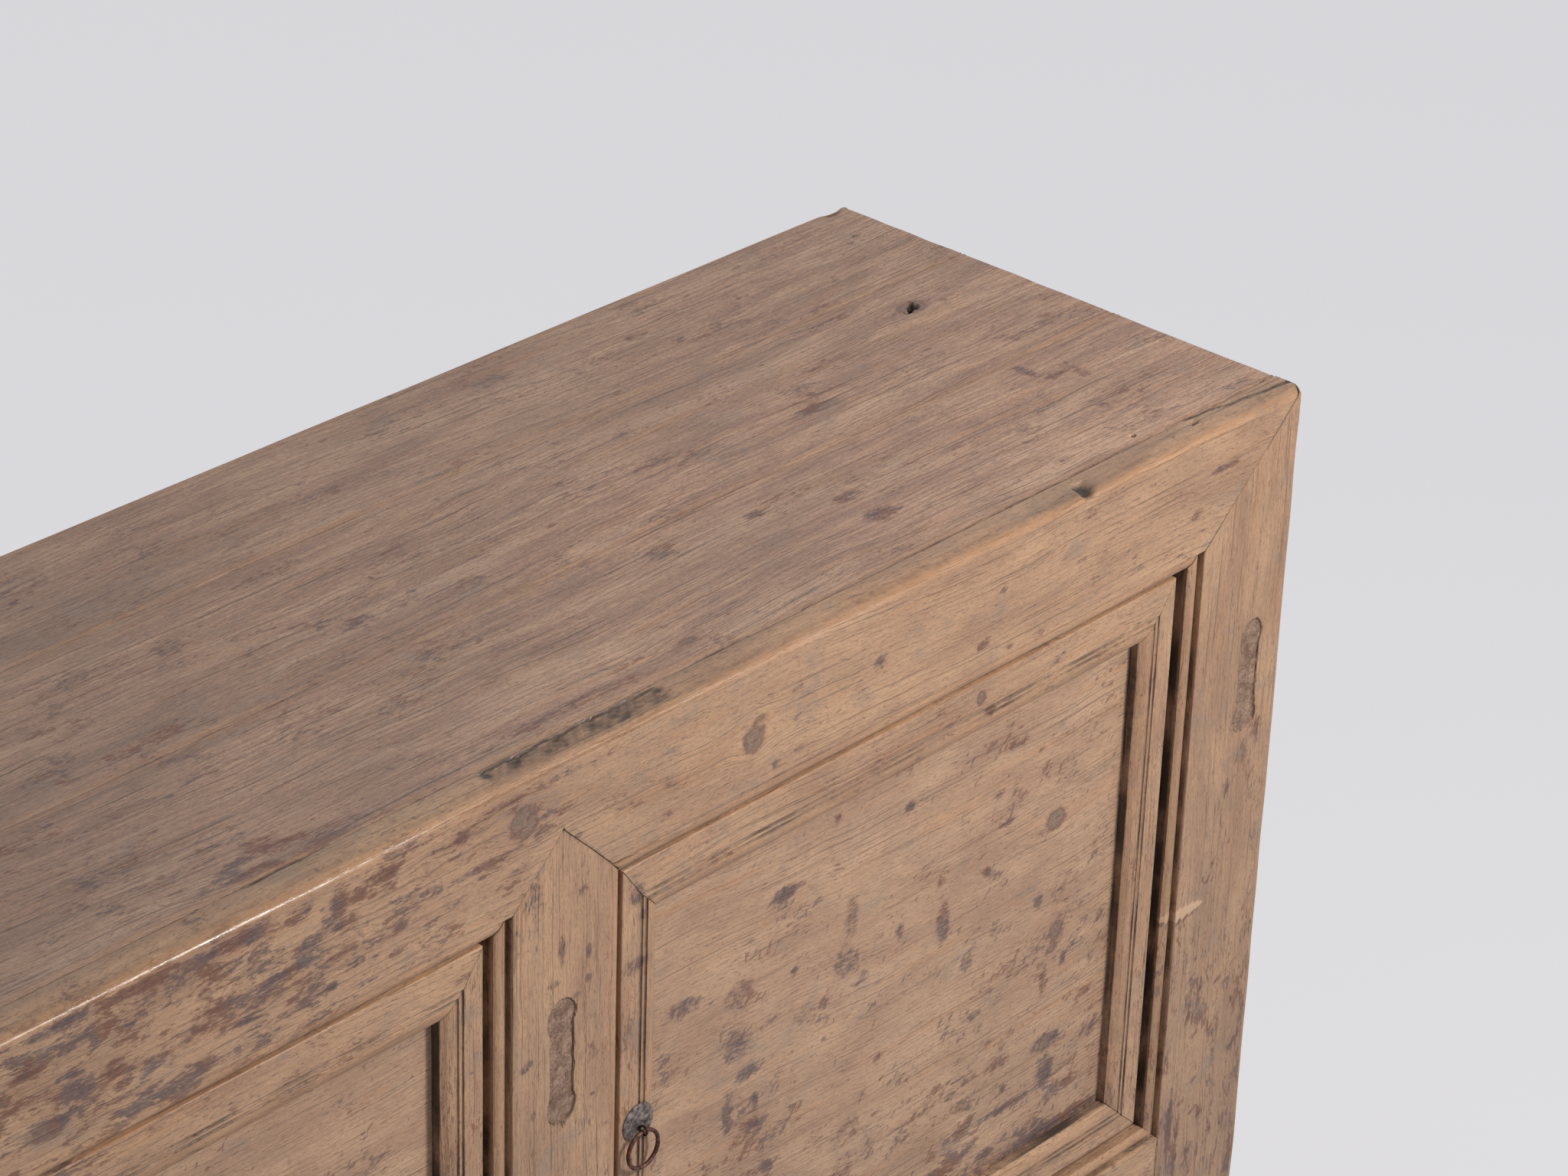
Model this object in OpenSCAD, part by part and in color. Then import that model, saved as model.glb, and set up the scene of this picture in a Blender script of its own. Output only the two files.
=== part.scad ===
// Elm buffet cabinet with three pivot-hung doors, jointed without nails.
// Millimetres, +Z up, front towards -Y, origin on the floor under the middle of the cabinet.

/* [Cabinet] */
// Width over the legs
cabinet_w = 1986; // [1900:2:2100]
// Depth from the front face of the frame to the back
cabinet_d = 403; // [390:1:440]
// Height from the floor to the top
cabinet_h = 780; // [760:1:860]
// Height of the door openings
opening_h = 439; // [420:1:450]

/* [Front frame] */
// Flat face of each front leg, without its bead
leg_face_w = 94; // [84:1:104]
// Depth of the front legs
leg_d = 56; // [54:1:64]
// Flat face of each stile between the doors, without its beads
stile_face_w = 80; // [70:1:96]
// Flat face of the top rail, without its bead
rail_face_h = 87; // [82:1:96]
// Flat face of the bottom rail, without its bead
sill_face_h = 62; // [58:1:72]
// Depth of the front rails and stiles
rail_d = 50; // [50:1:56]
// Width of the bead round each opening
bead_w = 10; // [8:0.5:12]
// How far the bead's crown lies behind the frame's face
bead_step = 3.5; // [2.5:0.5:4.5]
// Radius of the bead's crown
bead_r = 7; // [6.5:0.5:9]
// Radius of the worn top front edge
top_edge_r = 12; // [8:1:15]
// Radius of the corner edges of the front legs
leg_edge_r = 3; // [2:0.5:4]
// Thickness of the mitred skin that hides each front joint
skin_t = 14; // [12:1:16]
// Width of the top rail that shows beside the planks
top_strip_w = 24; // [22:1:28]

/* [Top] */
// Thickness of the top planks
plank_t = 26; // [24:1:28]
// Width of the front plank
front_plank_w = 133; // [120:1:140]
// Width of the middle plank
middle_plank_w = 136; // [120:1:145]
// Height of each batten under the planks
batten_h = 24; // [20:1:28]
// Width of each batten under the planks
batten_w = 50; // [44:1:60]

// Distance of the knot hole from the right end
knot_x = 92; // [70:1:120]
// Distance of the knot hole behind the middle plank's front seam
knot_y = 102; // [60:1:110]
// Radius of the knot hole
knot_r = 5; // [3:0.5:7]
// Depth of the knot hole
knot_d = 8; // [5:0.5:10]

/* [Doors] */
// How far the doors lie behind the frame's face
door_set = 4; // [3:0.5:5]
// Thickness of the door frames
door_t = 26; // [25:1:28]
// Gap beside the pull stile
pull_gap = 2; // [1.5:0.5:3]
// Gap beside the hinge stile of the two end doors
end_hinge_gap = 13; // [11:0.5:15]
// Gap beside the hinge stile of the middle door
middle_hinge_gap = 9; // [8.5:0.5:12]
// Gap over each door
top_gap = 2; // [1.5:0.5:4]
// Gap under each door, which the pivot carries it over
bottom_gap = 11; // [9:0.5:13]
// Flat outer part of the pull stile
pull_flat = 16; // [14:0.5:20]
// Flat outer part of the hinge stile
hinge_flat = 15; // [14:0.5:18]
// Flat outer part of the door's top rail
top_flat = 22; // [20:0.5:26]
// Flat outer part of the door's bottom rail
bottom_flat = 14; // [13:0.5:18]
// Width of the pair of grooves inside the flat
pair_w = 6; // [5:0.5:8]
// Radius of each groove
groove_r = 1; // [0.8:0.1:1.2]
// Width of the ovolo round the panel
ovolo_w = 10; // [8:0.5:11]
// Fall of the ovolo towards the panel
ovolo_drop = 4; // [3:0.5:5]
// Depth of the panel's face behind the door's face
panel_recess = 10; // [9.5:0.5:11]
// Thickness of the door panels
panel_t = 10; // [9:0.5:10]
// Depth of the panel's edge in its groove
panel_tongue = 7; // [6:0.5:8]
// Thickness of the mitred skin of the door frame
door_skin = 9; // [8:0.5:9]
// Width of the batten behind each door panel
door_batten_w = 30; // [26:1:40]

/* [Pivots] */
// Radius of the turned wooden pivot pins
pin_r = 5.5; // [4.5:0.1:5.6]
// Radial clearance of the pins in their sockets
pin_clearance = 0.08; // [0.05:0.01:0.1]
// Distance of the pivots from the hinge edge of the door
pivot_inset = 13; // [12:0.5:13.5]
// Distance of the pivots behind the door's face
pivot_depth = 15; // [14.5:0.5:15.5]
// Depth of the upper socket
top_socket_d = 20; // [16:1:24]
// Depth of the lower socket
bottom_socket_d = 15; // [12:1:20]
// Play at the end of each pin
pin_play = 0.3; // [0.2:0.1:0.5]

/* [Ring pulls] */
// Radius of the iron plate
plate_r = 13; // [11:0.5:14.5]
// Thickness of the iron plate
plate_t = 1.5; // [1.2:0.1:2]
// Distance of the pull from the free edge of the door
pull_inset = 16; // [15:0.5:18]
// Distance of the plate's centre below the top of the door
pull_drop = 181; // [160:1:230]
// Distance of the staple below the centre of the plate
staple_drop = 4; // [2:0.5:6]
// Radius of the staple's wire
staple_r = 0.8; // [0.7:0.05:0.9]
// Clear radius of the staple's eye
eye_r = 2.2; // [2.1:0.1:2.6]
// Radius of the ring's wire
ring_wire_r = 1.4; // [1.2:0.05:1.5]
// Radius of the ring at the middle of its wire
ring_r = 12.6; // [11:0.2:15]

/* [Sides and back] */
// Width of the back legs
back_leg_w = 70; // [60:1:80]
// Depth of the back legs
back_leg_d = 50; // [45:1:60]
// How far the side frames lie inside the legs
side_set = 4; // [2:0.5:6]
// Thickness of the side rails
side_rail_t = 34; // [32:1:40]
// Height of the side and back top rails
upper_rail_h = 60; // [54:1:70]
// Thickness of the side panels
side_panel_t = 10; // [9:0.5:12]
// Thickness of the back rails and stiles
back_rail_t = 30; // [28:1:34]
// Width of the back stiles
back_stile_w = 60; // [56:1:70]
// Thickness of the back panels
back_panel_t = 8; // [7:0.5:10]

/* [Inside] */
// Thickness of the bottom boards
floor_t = 16; // [14:1:18]
// How far the bottom boards lie below the sill
floor_drop = 2; // [1:0.5:4]
// Height of the shelf's underside above the sill
shelf_height = 215; // [180:1:250]
// Thickness of the shelf
shelf_t = 16; // [14:1:20]
// Height and width of the bearers under the shelf
shelf_bearer = 25; // [22:1:30]
// Height and width of the bearers under the bottom boards
floor_bearer = 38; // [34:1:42]
// Height of the apron under the sill
apron_h = 44; // [36:1:54]
// Extra height of the apron's curved ends
bracket_h = 34; // [26:1:44]
// Length of the apron's curved ends
bracket_w = 70; // [60:1:90]
// Thickness of the apron
apron_t = 18; // [16:1:20]

/* [Plugged mortises] */
// Width of each old mortise at its ends
plug_w = 22; // [18:1:24]
// Width of each old mortise at its waist
plug_waist = 18; // [14:1:20]
// Height of each old mortise
plug_h = 85; // [76:1:94]
// Depth of each old mortise
plug_d = 12; // [8:1:14]
// Depth of the plug's face below the wood round it
plug_sunk = 1.2; // [0.8:0.1:2]
// Distance of the leg's mortise from the cabinet's end
leg_plug_inset = 34; // [30:1:50]
// Distance of the middle of the mortises below the top
plug_drop = 203; // [190:1:240]

/* [Hidden] */
$fn = 48;

// Overrun of each cut past the face that it opens
cut = 1;
// Clearance round hidden tenons, tongues and plugs
fit = 0.15;
// Room for the panels to swell
swell = 1;

// Wood and iron colours
frame_tone = [0.66, 0.53, 0.44];
panel_tone = [0.70, 0.57, 0.48];
top_tone = [0.57, 0.47, 0.42];
inner_tone = [0.50, 0.39, 0.31];
plug_tone = [0.40, 0.35, 0.30];
iron_tone = [0.27, 0.24, 0.23];

// The pull stands in front of the frame by this much
eye_sink = 0.3;
eye_outer = eye_r + 2 * staple_r;
eye_out = plate_t + eye_outer - eye_sink;
pull_proud = eye_out + eye_outer - door_set;

// Main planes
half_w = cabinet_w / 2;
front_y = (pull_proud - cabinet_d) / 2;
back_y = front_y + cabinet_d;
leg_w = leg_face_w + bead_w;
stile_w = stile_face_w + 2 * bead_w;
bays = 3;
opening_w = (cabinet_w - 2 * leg_w - (bays - 1) * stile_w) / bays;
bay_step = opening_w + stile_w;
stile_x = bay_step / 2;
opening_top = cabinet_h - rail_face_h - bead_w;
opening_bottom = opening_top - opening_h;
sill_bottom = opening_bottom - bead_w - sill_face_h;
plank_under = cabinet_h - plank_t;
floor_under = opening_bottom - floor_drop - floor_t;
bead_rise = bead_r - sqrt(pow(bead_r, 2) - pow(bead_w / 2, 2));

// Tenons of the front frame
tenon_y = 18;
tenon_t = 14;
rail_tenon_stop = 26;
rail_tenon_z = 18;
rail_tenon_h = 38;
stile_tenon_w = 50;
stile_tenon_l = 38;
sill_tenon_l = 60;
sill_tenon_z = 16;
sill_tenon_h = 36;

// Tenons of the sides and the back
side_tenon_l = 18;
side_tenon_t = 12;
side_tongue = 8;
side_tenon_z = side_tongue + 2;
panel_back = 10;
back_tenon_l = 40;
back_tenon_t = 12;
back_tenon_y = 9;
stub_l = 12;
bearer_stub_l = 8;
stub_in = 6;

// Planks
plank_tongue_t = 7;
plank_tongue_l = 6;
plank_tongue_z = 10;
dovetail_neck = 32;
dovetail_root = 38;
dovetail_d = 7;
shoot_r = 0.7 * knot_r;
shoot_off = 1.4 * knot_r;
shoot_d = knot_d / 2;
planks_y = front_y + top_strip_w;
plank_seam_a = planks_y + front_plank_w;
plank_seam_b = plank_seam_a + middle_plank_w;

// Floor and shelf
floor_seat_y = 34;
floor_gap = 1;
board_count = 3;
shelf_z = opening_bottom + shelf_height;
side_inner_x = half_w - side_set - side_rail_t;

// Doors
mould_w = pair_w + ovolo_w;
ovolo_r = (pow(ovolo_w, 2) + pow(ovolo_drop, 2)) / (2 * ovolo_drop);
door_h = opening_h - top_gap - bottom_gap;
door_z = opening_bottom + bottom_gap;
pull_stile_w = pull_flat + mould_w;
hinge_stile_w = hinge_flat + mould_w;
door_top_h = top_flat + mould_w;
door_bottom_h = bottom_flat + mould_w;
door_tenon_y = door_skin + 3;
door_tenon_t = 8;
door_tenon_stop = 6;
door_tenon_margin = 6;
door_tenon_shoulder = 2;
door_batten_stub = 6;
door_dovetail_neck = 16;
door_dovetail_root = 20;
door_dovetail_d = 3;
top_pin_l = top_gap + top_socket_d - pin_play;
bottom_pin_l = bottom_gap + bottom_socket_d - pin_play;
stop_gap = 0.3;
stop_w = 50;
stop_t = 14;
stop_h = 12;
stop_inset = 60;

// Pulls
staple_hole_r = 2.1;
staple_leg_r = staple_r - 0.1;
staple_leg_z = staple_leg_r + 0.15;
staple_tail_r = staple_leg_r - 0.1;
staple_tail = 8;
plate_edge_t = 0.7;
plate_bevel = 1.5;
ring_play = 0.05;

// Solid box between two corners
module block(lo, hi) {
    translate(lo) cube(hi - lo);
}

// Children as drawn for the right side, or mirrored for the left where s is -1
module mirrored(s) {
    mirror([s < 0 ? 1 : 0, 0, 0]) children();
}

// Outline in X and Z carried through Y
module through_y(y0, y1) {
    translate([0, y1, 0]) rotate([90, 0, 0]) linear_extrude(height = y1 - y0) children();
}

// Outline in Y and Z carried along X
module along_x(x0, x1) {
    translate([x0, 0, 0]) rotate([90, 0, 90]) linear_extrude(height = x1 - x0) children();
}

// Section of a front member: first axis across the face from the opening, second into the wood
module beaded_section(face_w, depth) {
    crown = bead_step + bead_r;
    difference() {
        square([bead_w + face_w, depth]);
        difference() {
            translate([-cut, -cut]) square([bead_w + cut, crown + cut]);
            translate([bead_w / 2, crown]) circle(bead_r);
        }
    }
}

// Everything outside the worn edges of the front, for legs and top rail alike
module worn_edges() {
    along_x(-half_w - cut, half_w + cut) difference() {
        translate([front_y - cut, cabinet_h - top_edge_r])
            square([top_edge_r + cut, top_edge_r + cut]);
        translate([front_y + top_edge_r, cabinet_h - top_edge_r]) circle(top_edge_r);
    }
    for (s = [-1, 1]) mirrored(s) linear_extrude(height = cabinet_h + cut) difference() {
        translate([half_w - leg_edge_r, front_y - cut])
            square([leg_edge_r + cut, leg_edge_r + cut]);
        translate([half_w - leg_edge_r, front_y + leg_edge_r]) circle(leg_edge_r);
    }
}

// Right leg in X and Z, up to its mitre with the top rail, which runs on past the corner
module leg_outline() {
    past = cut * rail_face_h / leg_face_w;
    polygon([
        [half_w - leg_w, 0], [half_w - leg_w, opening_top],
        [half_w - leg_face_w, cabinet_h - rail_face_h],
        [half_w + cut, cabinet_h + past], [half_w + cut, 0]
    ]);
}

// Pointed shoulder of a stile at the top rail, with its tip up
module point_outline() {
    polygon([[-stile_w / 2, 0], [stile_w / 2, 0], [0, stile_w / 2]]);
}

// Sill in X and Z on the face, with the mitres of its bead
module sill_outline() {
    inner = half_w - leg_w;
    outer = half_w - leg_face_w;
    polygon([
        [-inner, opening_bottom], [-outer, opening_bottom - bead_w], [-outer, sill_bottom],
        [outer, sill_bottom], [outer, opening_bottom - bead_w], [inner, opening_bottom]
    ]);
}

// Tenon bars: a clearance of zero gives the tenon, and fit gives its mortise
module rail_tenon(c) {
    reach = half_w - rail_tenon_stop + c;
    z = opening_top + rail_tenon_z;
    block([-reach, front_y + tenon_y - c, z - c],
          [reach, front_y + tenon_y + tenon_t + c, z + rail_tenon_h + c]);
}

module sill_tenon(c) {
    reach = half_w - leg_w + sill_tenon_l + c;
    z = sill_bottom + sill_tenon_z;
    block([-reach, front_y + tenon_y - c, z - c],
          [reach, front_y + tenon_y + tenon_t + c, z + sill_tenon_h + c]);
}

module stile_tenon(c) {
    block([-stile_tenon_w / 2 - c, front_y + tenon_y - c, opening_bottom - stile_tenon_l - c],
          [stile_tenon_w / 2 + c, front_y + tenon_y + tenon_t + c, opening_top + stile_tenon_l + c]);
}

// Long tenons of the side rails, right side, for a rail from z0 to z1
module side_tenon(z0, z1, c) {
    x = half_w - side_set - (side_rail_t + side_tenon_t) / 2;
    block([x - c, front_y + leg_d - side_tenon_l - c, z0 + side_tenon_z - c],
          [x + side_tenon_t + c, back_y - back_leg_d + side_tenon_l + c, z1 - side_tenon_z + c]);
}

module side_tenons(c) {
    side_tenon(plank_under - upper_rail_h, plank_under, c);
    side_tenon(sill_bottom, floor_under, c);
}

// Side panel, right side: a gap of swell inside the groove that the same module cuts
module side_board(play, c) {
    x = half_w - side_set - panel_back - side_panel_t;
    block([x - c, front_y + leg_d - side_tongue + play, floor_under - side_tongue],
          [x + side_panel_t + c, back_y - back_leg_d + side_tongue - play,
           plank_under - upper_rail_h + side_tongue - play]);
}

// Tenons of the back rails in the back legs
module back_tenon(z0, z1, c) {
    reach = half_w - back_leg_w + back_tenon_l + c;
    y = back_y - back_rail_t + back_tenon_y;
    block([-reach, y - c, z0 + side_tenon_z - c],
          [reach, y + back_tenon_t + c, z1 - side_tenon_z + c]);
}

module back_tenons(c) {
    back_tenon(plank_under - upper_rail_h, plank_under, c);
    back_tenon(sill_bottom, floor_under, c);
}

// Tenons of the back stiles, which pass into both back rails
module back_stile_tenon(c) {
    y = back_y - back_rail_t + back_tenon_y;
    w = back_stile_w / 2 - side_tongue - 2 * fit - swell;
    block([-w - c, y - c, floor_under - stub_l - c],
          [w + c, y + back_tenon_t + c, plank_under - upper_rail_h + stub_l + c]);
}

// Edges of the back panel of one bay
function back_x0(i) = i == 0 ? back_leg_w - half_w : (2 * i - bays) * stile_x + back_stile_w / 2;
function back_x1(i) =
    i == bays - 1 ? half_w - back_leg_w : (2 * i + 2 - bays) * stile_x - back_stile_w / 2;

module back_board(i, play, c) {
    y = back_y - panel_back - back_panel_t;
    block([back_x0(i) - side_tongue + play, y - c, floor_under - side_tongue],
          [back_x1(i) + side_tongue - play, y + back_panel_t + c,
           plank_under - upper_rail_h + side_tongue - play]);
}

module back_boards(play, c) {
    for (i = [0 : bays - 1]) back_board(i, play, c);
}

// Bearers from front to back, each with stub tenons
module bearer(x, w, h, y0, y1, z) {
    block([x - w / 2, y0, z - h], [x + w / 2, y1, z]);
}

module bearer_stub(x, w, h, y0, y1, z, c) {
    block([x - w / 2 + stub_in - c, y0 - bearer_stub_l - c, z - h + stub_in - c],
          [x + w / 2 - stub_in + c, y1 + bearer_stub_l + c, z - stub_in + c]);
}

floor_bearer_x = [-half_w + leg_w + floor_bearer, -stile_x, stile_x, half_w - leg_w - floor_bearer];
floor_bearer_y = [front_y + rail_d, back_y - back_rail_t];
shelf_end_x = side_inner_x - shelf_bearer / 2;

module floor_stubs(c) {
    for (x = floor_bearer_x)
        bearer_stub(x, floor_bearer, floor_bearer, floor_bearer_y[0], floor_bearer_y[1],
                    floor_under, c);
}

module shelf_end_stubs(c) {
    for (s = [-1, 1])
        bearer_stub(s * shelf_end_x, shelf_bearer, shelf_bearer,
                    front_y + leg_d, back_y - back_leg_d, shelf_z, c);
}

module shelf_stile_stubs(c) {
    for (s = [-1, 1])
        bearer_stub(s * stile_x, shelf_bearer, shelf_bearer,
                    front_y + rail_d, back_y - back_rail_t, shelf_z, c);
}

// Old mortise, wider at both ends than at its waist
module plug_shape(x, y0, y1, c) {
    z = cabinet_h - plug_drop;
    lobe = plug_h / 2 - plug_w / 2;
    translate([x, 0, z]) through_y(y0, y1) {
        square([plug_waist + 2 * c, 2 * lobe], center = true);
        for (s = [-1, 1]) translate([0, s * lobe]) circle(plug_w / 2 + c);
    }
}

plug_x = [half_w - leg_plug_inset, stile_x];

// Front legs

module front_leg() {
    color(frame_tone) difference() {
        intersection() {
            translate([half_w - leg_w, front_y]) linear_extrude(height = cabinet_h)
                beaded_section(leg_face_w, leg_d);
            through_y(front_y - cut, front_y + leg_d + cut) leg_outline();
        }
        worn_edges();
        block([0, planks_y, plank_under], [half_w + cut, front_y + leg_d + cut, cabinet_h + cut]);
        through_y(front_y - cut, front_y + skin_t) sill_outline();
        rail_tenon(fit);
        sill_tenon(fit);
        side_tenons(fit);
        side_board(0, fit);
        shelf_end_stubs(fit);
    }
}

module front_left_leg() {
    mirror([1, 0, 0]) front_leg();
}

module front_right_leg() {
    color(frame_tone) difference() {
        front_leg();
        plug_shape(plug_x[0], front_y - cut, front_y + plug_d, 0);
    }
}

// Back legs

module back_leg() {
    color(frame_tone) difference() {
        block([half_w - back_leg_w, back_y - back_leg_d, 0], [half_w, back_y, plank_under]);
        back_tenons(fit);
        back_boards(0, fit);
        side_tenons(fit);
        side_board(0, fit);
        shelf_end_stubs(fit);
    }
}

module back_left_leg() {
    mirror([1, 0, 0]) back_leg();
}

module back_right_leg() {
    back_leg();
}

// Front rails

module front_top_rail() {
    color(frame_tone) difference() {
        union() {
            difference() {
                along_x(-half_w, half_w) translate([front_y, opening_top]) mirror([1, -1])
                    beaded_section(rail_face_h, rail_d);
                for (s = [-1, 1]) mirrored(s)
                    through_y(front_y - cut, front_y + rail_d + cut) leg_outline();
            }
            rail_tenon(0);
        }
        worn_edges();
        block([-half_w - cut, planks_y, plank_under],
              [half_w + cut, front_y + rail_d + cut, cabinet_h + cut]);
        for (s = [-1, 1]) translate([s * stile_x, 0, 0]) {
            translate([0, 0, opening_top]) through_y(front_y - cut, front_y + skin_t)
                point_outline();
            stile_tenon(fit);
        }
        for (i = [0 : bays - 1]) pivot(i, opening_top - cut, opening_top + top_socket_d, pin_clearance);
    }
}

module front_bottom_rail() {
    inner = half_w - leg_w;
    color(frame_tone) difference() {
        union() {
            intersection() {
                along_x(-half_w, half_w) translate([front_y, opening_bottom]) rotate(-90)
                    beaded_section(sill_face_h, rail_d);
                union() {
                    through_y(front_y - cut, front_y + skin_t) sill_outline();
                    block([-inner, front_y + skin_t, sill_bottom - cut],
                          [inner, front_y + rail_d + cut, opening_bottom + cut]);
                }
            }
            sill_tenon(0);
        }
        block([-half_w, front_y + floor_seat_y, floor_under],
              [half_w, front_y + rail_d + cut, opening_bottom + cut]);
        for (s = [-1, 1]) translate([s * stile_x, 0, 0]) {
            translate([0, 0, opening_bottom]) mirror([0, 0, 1])
                through_y(front_y - cut, front_y + skin_t) point_outline();
            stile_tenon(fit);
        }
        floor_stubs(fit);
        for (i = [0 : bays - 1])
            pivot(i, opening_bottom - bottom_socket_d, opening_bottom + cut, pin_clearance);
    }
}

// Stiles between the doors, with a pointed shoulder at each end

module front_stile() {
    color(frame_tone) difference() {
        union() {
            for (s = [-1, 1]) mirrored(s) intersection() {
                translate([-stile_w / 2, front_y, sill_bottom])
                    linear_extrude(height = cabinet_h - sill_bottom)
                        beaded_section(stile_face_w / 2, rail_d);
                union() {
                    block([-stile_w, front_y - cut, opening_bottom],
                          [0, front_y + rail_d + cut, opening_top]);
                    translate([0, 0, opening_top]) through_y(front_y - cut, front_y + skin_t)
                        point_outline();
                    translate([0, 0, opening_bottom]) mirror([0, 0, 1])
                        through_y(front_y - cut, front_y + skin_t) point_outline();
                }
            }
            stile_tenon(0);
        }
        translate([-stile_x, 0, 0]) shelf_stile_stubs(fit);
    }
}

module left_front_stile() {
    translate([-stile_x, 0, 0]) front_stile();
}

module right_front_stile() {
    color(frame_tone) difference() {
        translate([stile_x, 0, 0]) front_stile();
        plug_shape(plug_x[1], front_y - cut, front_y + plug_d, 0);
    }
}

// Side frames

module side_rail(z0, z1) {
    color(frame_tone) difference() {
        union() {
            block([half_w - side_set - side_rail_t, front_y + leg_d, z0],
                  [half_w - side_set, back_y - back_leg_d, z1]);
            side_tenon(z0, z1, 0);
        }
        side_board(0, fit);
    }
}

module right_side_top_rail() {
    side_rail(plank_under - upper_rail_h, plank_under);
}

module left_side_top_rail() {
    mirror([1, 0, 0]) right_side_top_rail();
}

module right_side_bottom_rail() {
    side_rail(sill_bottom, floor_under);
}

module left_side_bottom_rail() {
    mirror([1, 0, 0]) right_side_bottom_rail();
}

module right_side_panel() {
    color(panel_tone) side_board(swell, 0);
}

module left_side_panel() {
    mirror([1, 0, 0]) right_side_panel();
}

// Back frame

module back_rail(z0, z1) {
    x = half_w - back_leg_w;
    difference() {
        union() {
            block([-x, back_y - back_rail_t, z0], [x, back_y, z1]);
            back_tenon(z0, z1, 0);
        }
        back_boards(0, fit);
        for (s = [-1, 1]) translate([s * stile_x, 0, 0]) back_stile_tenon(fit);
    }
}

module back_top_rail() {
    color(inner_tone) back_rail(plank_under - upper_rail_h, plank_under);
}

module back_bottom_rail() {
    color(inner_tone) difference() {
        back_rail(sill_bottom, floor_under);
        floor_stubs(fit);
    }
}

module back_stile(s) {
    color(inner_tone) difference() {
        translate([s * stile_x, 0, 0]) {
            block([-back_stile_w / 2, back_y - back_rail_t, floor_under],
                  [back_stile_w / 2, back_y, plank_under - upper_rail_h]);
            back_stile_tenon(0);
        }
        back_boards(0, fit);
        shelf_stile_stubs(fit);
    }
}

module back_panel(i) {
    color(inner_tone) back_board(i, swell, 0);
}

// Top planks, tongued together and held by sliding dovetail battens

module dovetails(c) {
    for (i = [-1, 0, 1]) translate([i * bay_step, 0, plank_under])
        through_y(front_y + rail_d - c, back_y - back_rail_t + c) polygon([
            [-dovetail_neck / 2 - c, -cut], [dovetail_neck / 2 + c, -cut],
            [dovetail_neck / 2 + c, 0], [dovetail_root / 2 + c, dovetail_d + c],
            [-dovetail_root / 2 - c, dovetail_d + c], [-dovetail_neck / 2 - c, 0]
        ]);
}

module plank_tongue(y, c) {
    z = plank_under + plank_tongue_z;
    block([-half_w - c, y - c, z - c], [half_w + c, y + plank_tongue_l + c, z + plank_tongue_t + c]);
}

module top_front_plank() {
    color(top_tone) difference() {
        union() {
            block([-half_w, planks_y, plank_under], [half_w, plank_seam_a, cabinet_h]);
            plank_tongue(plank_seam_a, 0);
        }
        dovetails(fit);
    }
}

// Knot that fell out, with the smaller hollow of a side shoot beside it
module knot_hole() {
    translate([half_w - knot_x, plank_seam_a + knot_y, cabinet_h]) {
        translate([0, 0, -knot_d]) cylinder(r = knot_r, h = knot_d + cut);
        translate([-shoot_off, -shoot_off / 2, -shoot_d]) cylinder(r = shoot_r, h = shoot_d + cut);
    }
}

module top_middle_plank() {
    color(top_tone) difference() {
        union() {
            block([-half_w, plank_seam_a, plank_under], [half_w, plank_seam_b, cabinet_h]);
            plank_tongue(plank_seam_b, 0);
        }
        plank_tongue(plank_seam_a, fit);
        dovetails(fit);
        knot_hole();
    }
}

module top_back_plank() {
    color(top_tone) difference() {
        block([-half_w, plank_seam_b, plank_under], [half_w, back_y, cabinet_h]);
        plank_tongue(plank_seam_b, fit);
        dovetails(fit);
    }
}

module top_battens() {
    color(inner_tone) {
        for (i = [-1, 0, 1])
            bearer(i * bay_step, batten_w, batten_h, front_y + rail_d, back_y - back_rail_t,
                   plank_under);
        dovetails(0);
    }
}

// Bottom boards and shelf

module leg_notches(c) {
    for (s = [-1, 1]) mirrored(s) {
        block([half_w - leg_w - c, front_y, 0], [half_w, front_y + leg_d + c, cabinet_h]);
        block([half_w - back_leg_w - c, back_y - back_leg_d - c, 0], [half_w, back_y, cabinet_h]);
    }
}

module bottom_boards() {
    y0 = front_y + floor_seat_y + fit;
    board = (back_y - back_rail_t - fit - y0) / board_count;
    color(inner_tone) difference() {
        for (i = [0 : board_count - 1])
            block([-side_inner_x + floor_gap, y0 + i * board, floor_under],
                  [side_inner_x - floor_gap, y0 + (i + 1) * board - fit, floor_under + floor_t]);
        leg_notches(floor_gap);
    }
}

module bottom_bearers() {
    color(inner_tone) {
        for (x = floor_bearer_x)
            bearer(x, floor_bearer, floor_bearer, floor_bearer_y[0], floor_bearer_y[1], floor_under);
        floor_stubs(0);
    }
}

module inner_shelf() {
    color(inner_tone) difference() {
        block([-side_inner_x + floor_gap, front_y + leg_d + floor_gap, shelf_z],
              [side_inner_x - floor_gap, back_y - back_rail_t - floor_gap, shelf_z + shelf_t]);
        leg_notches(floor_gap);
    }
}

module shelf_bearers() {
    color(inner_tone) {
        for (s = [-1, 1]) {
            bearer(s * shelf_end_x, shelf_bearer, shelf_bearer, front_y + leg_d,
                   back_y - back_leg_d, shelf_z);
            bearer(s * stile_x, shelf_bearer, shelf_bearer, front_y + rail_d,
                   back_y - back_rail_t, shelf_z);
        }
        shelf_end_stubs(0);
        shelf_stile_stubs(0);
    }
}

// Apron under the sill, with a curved bracket at each leg

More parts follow.
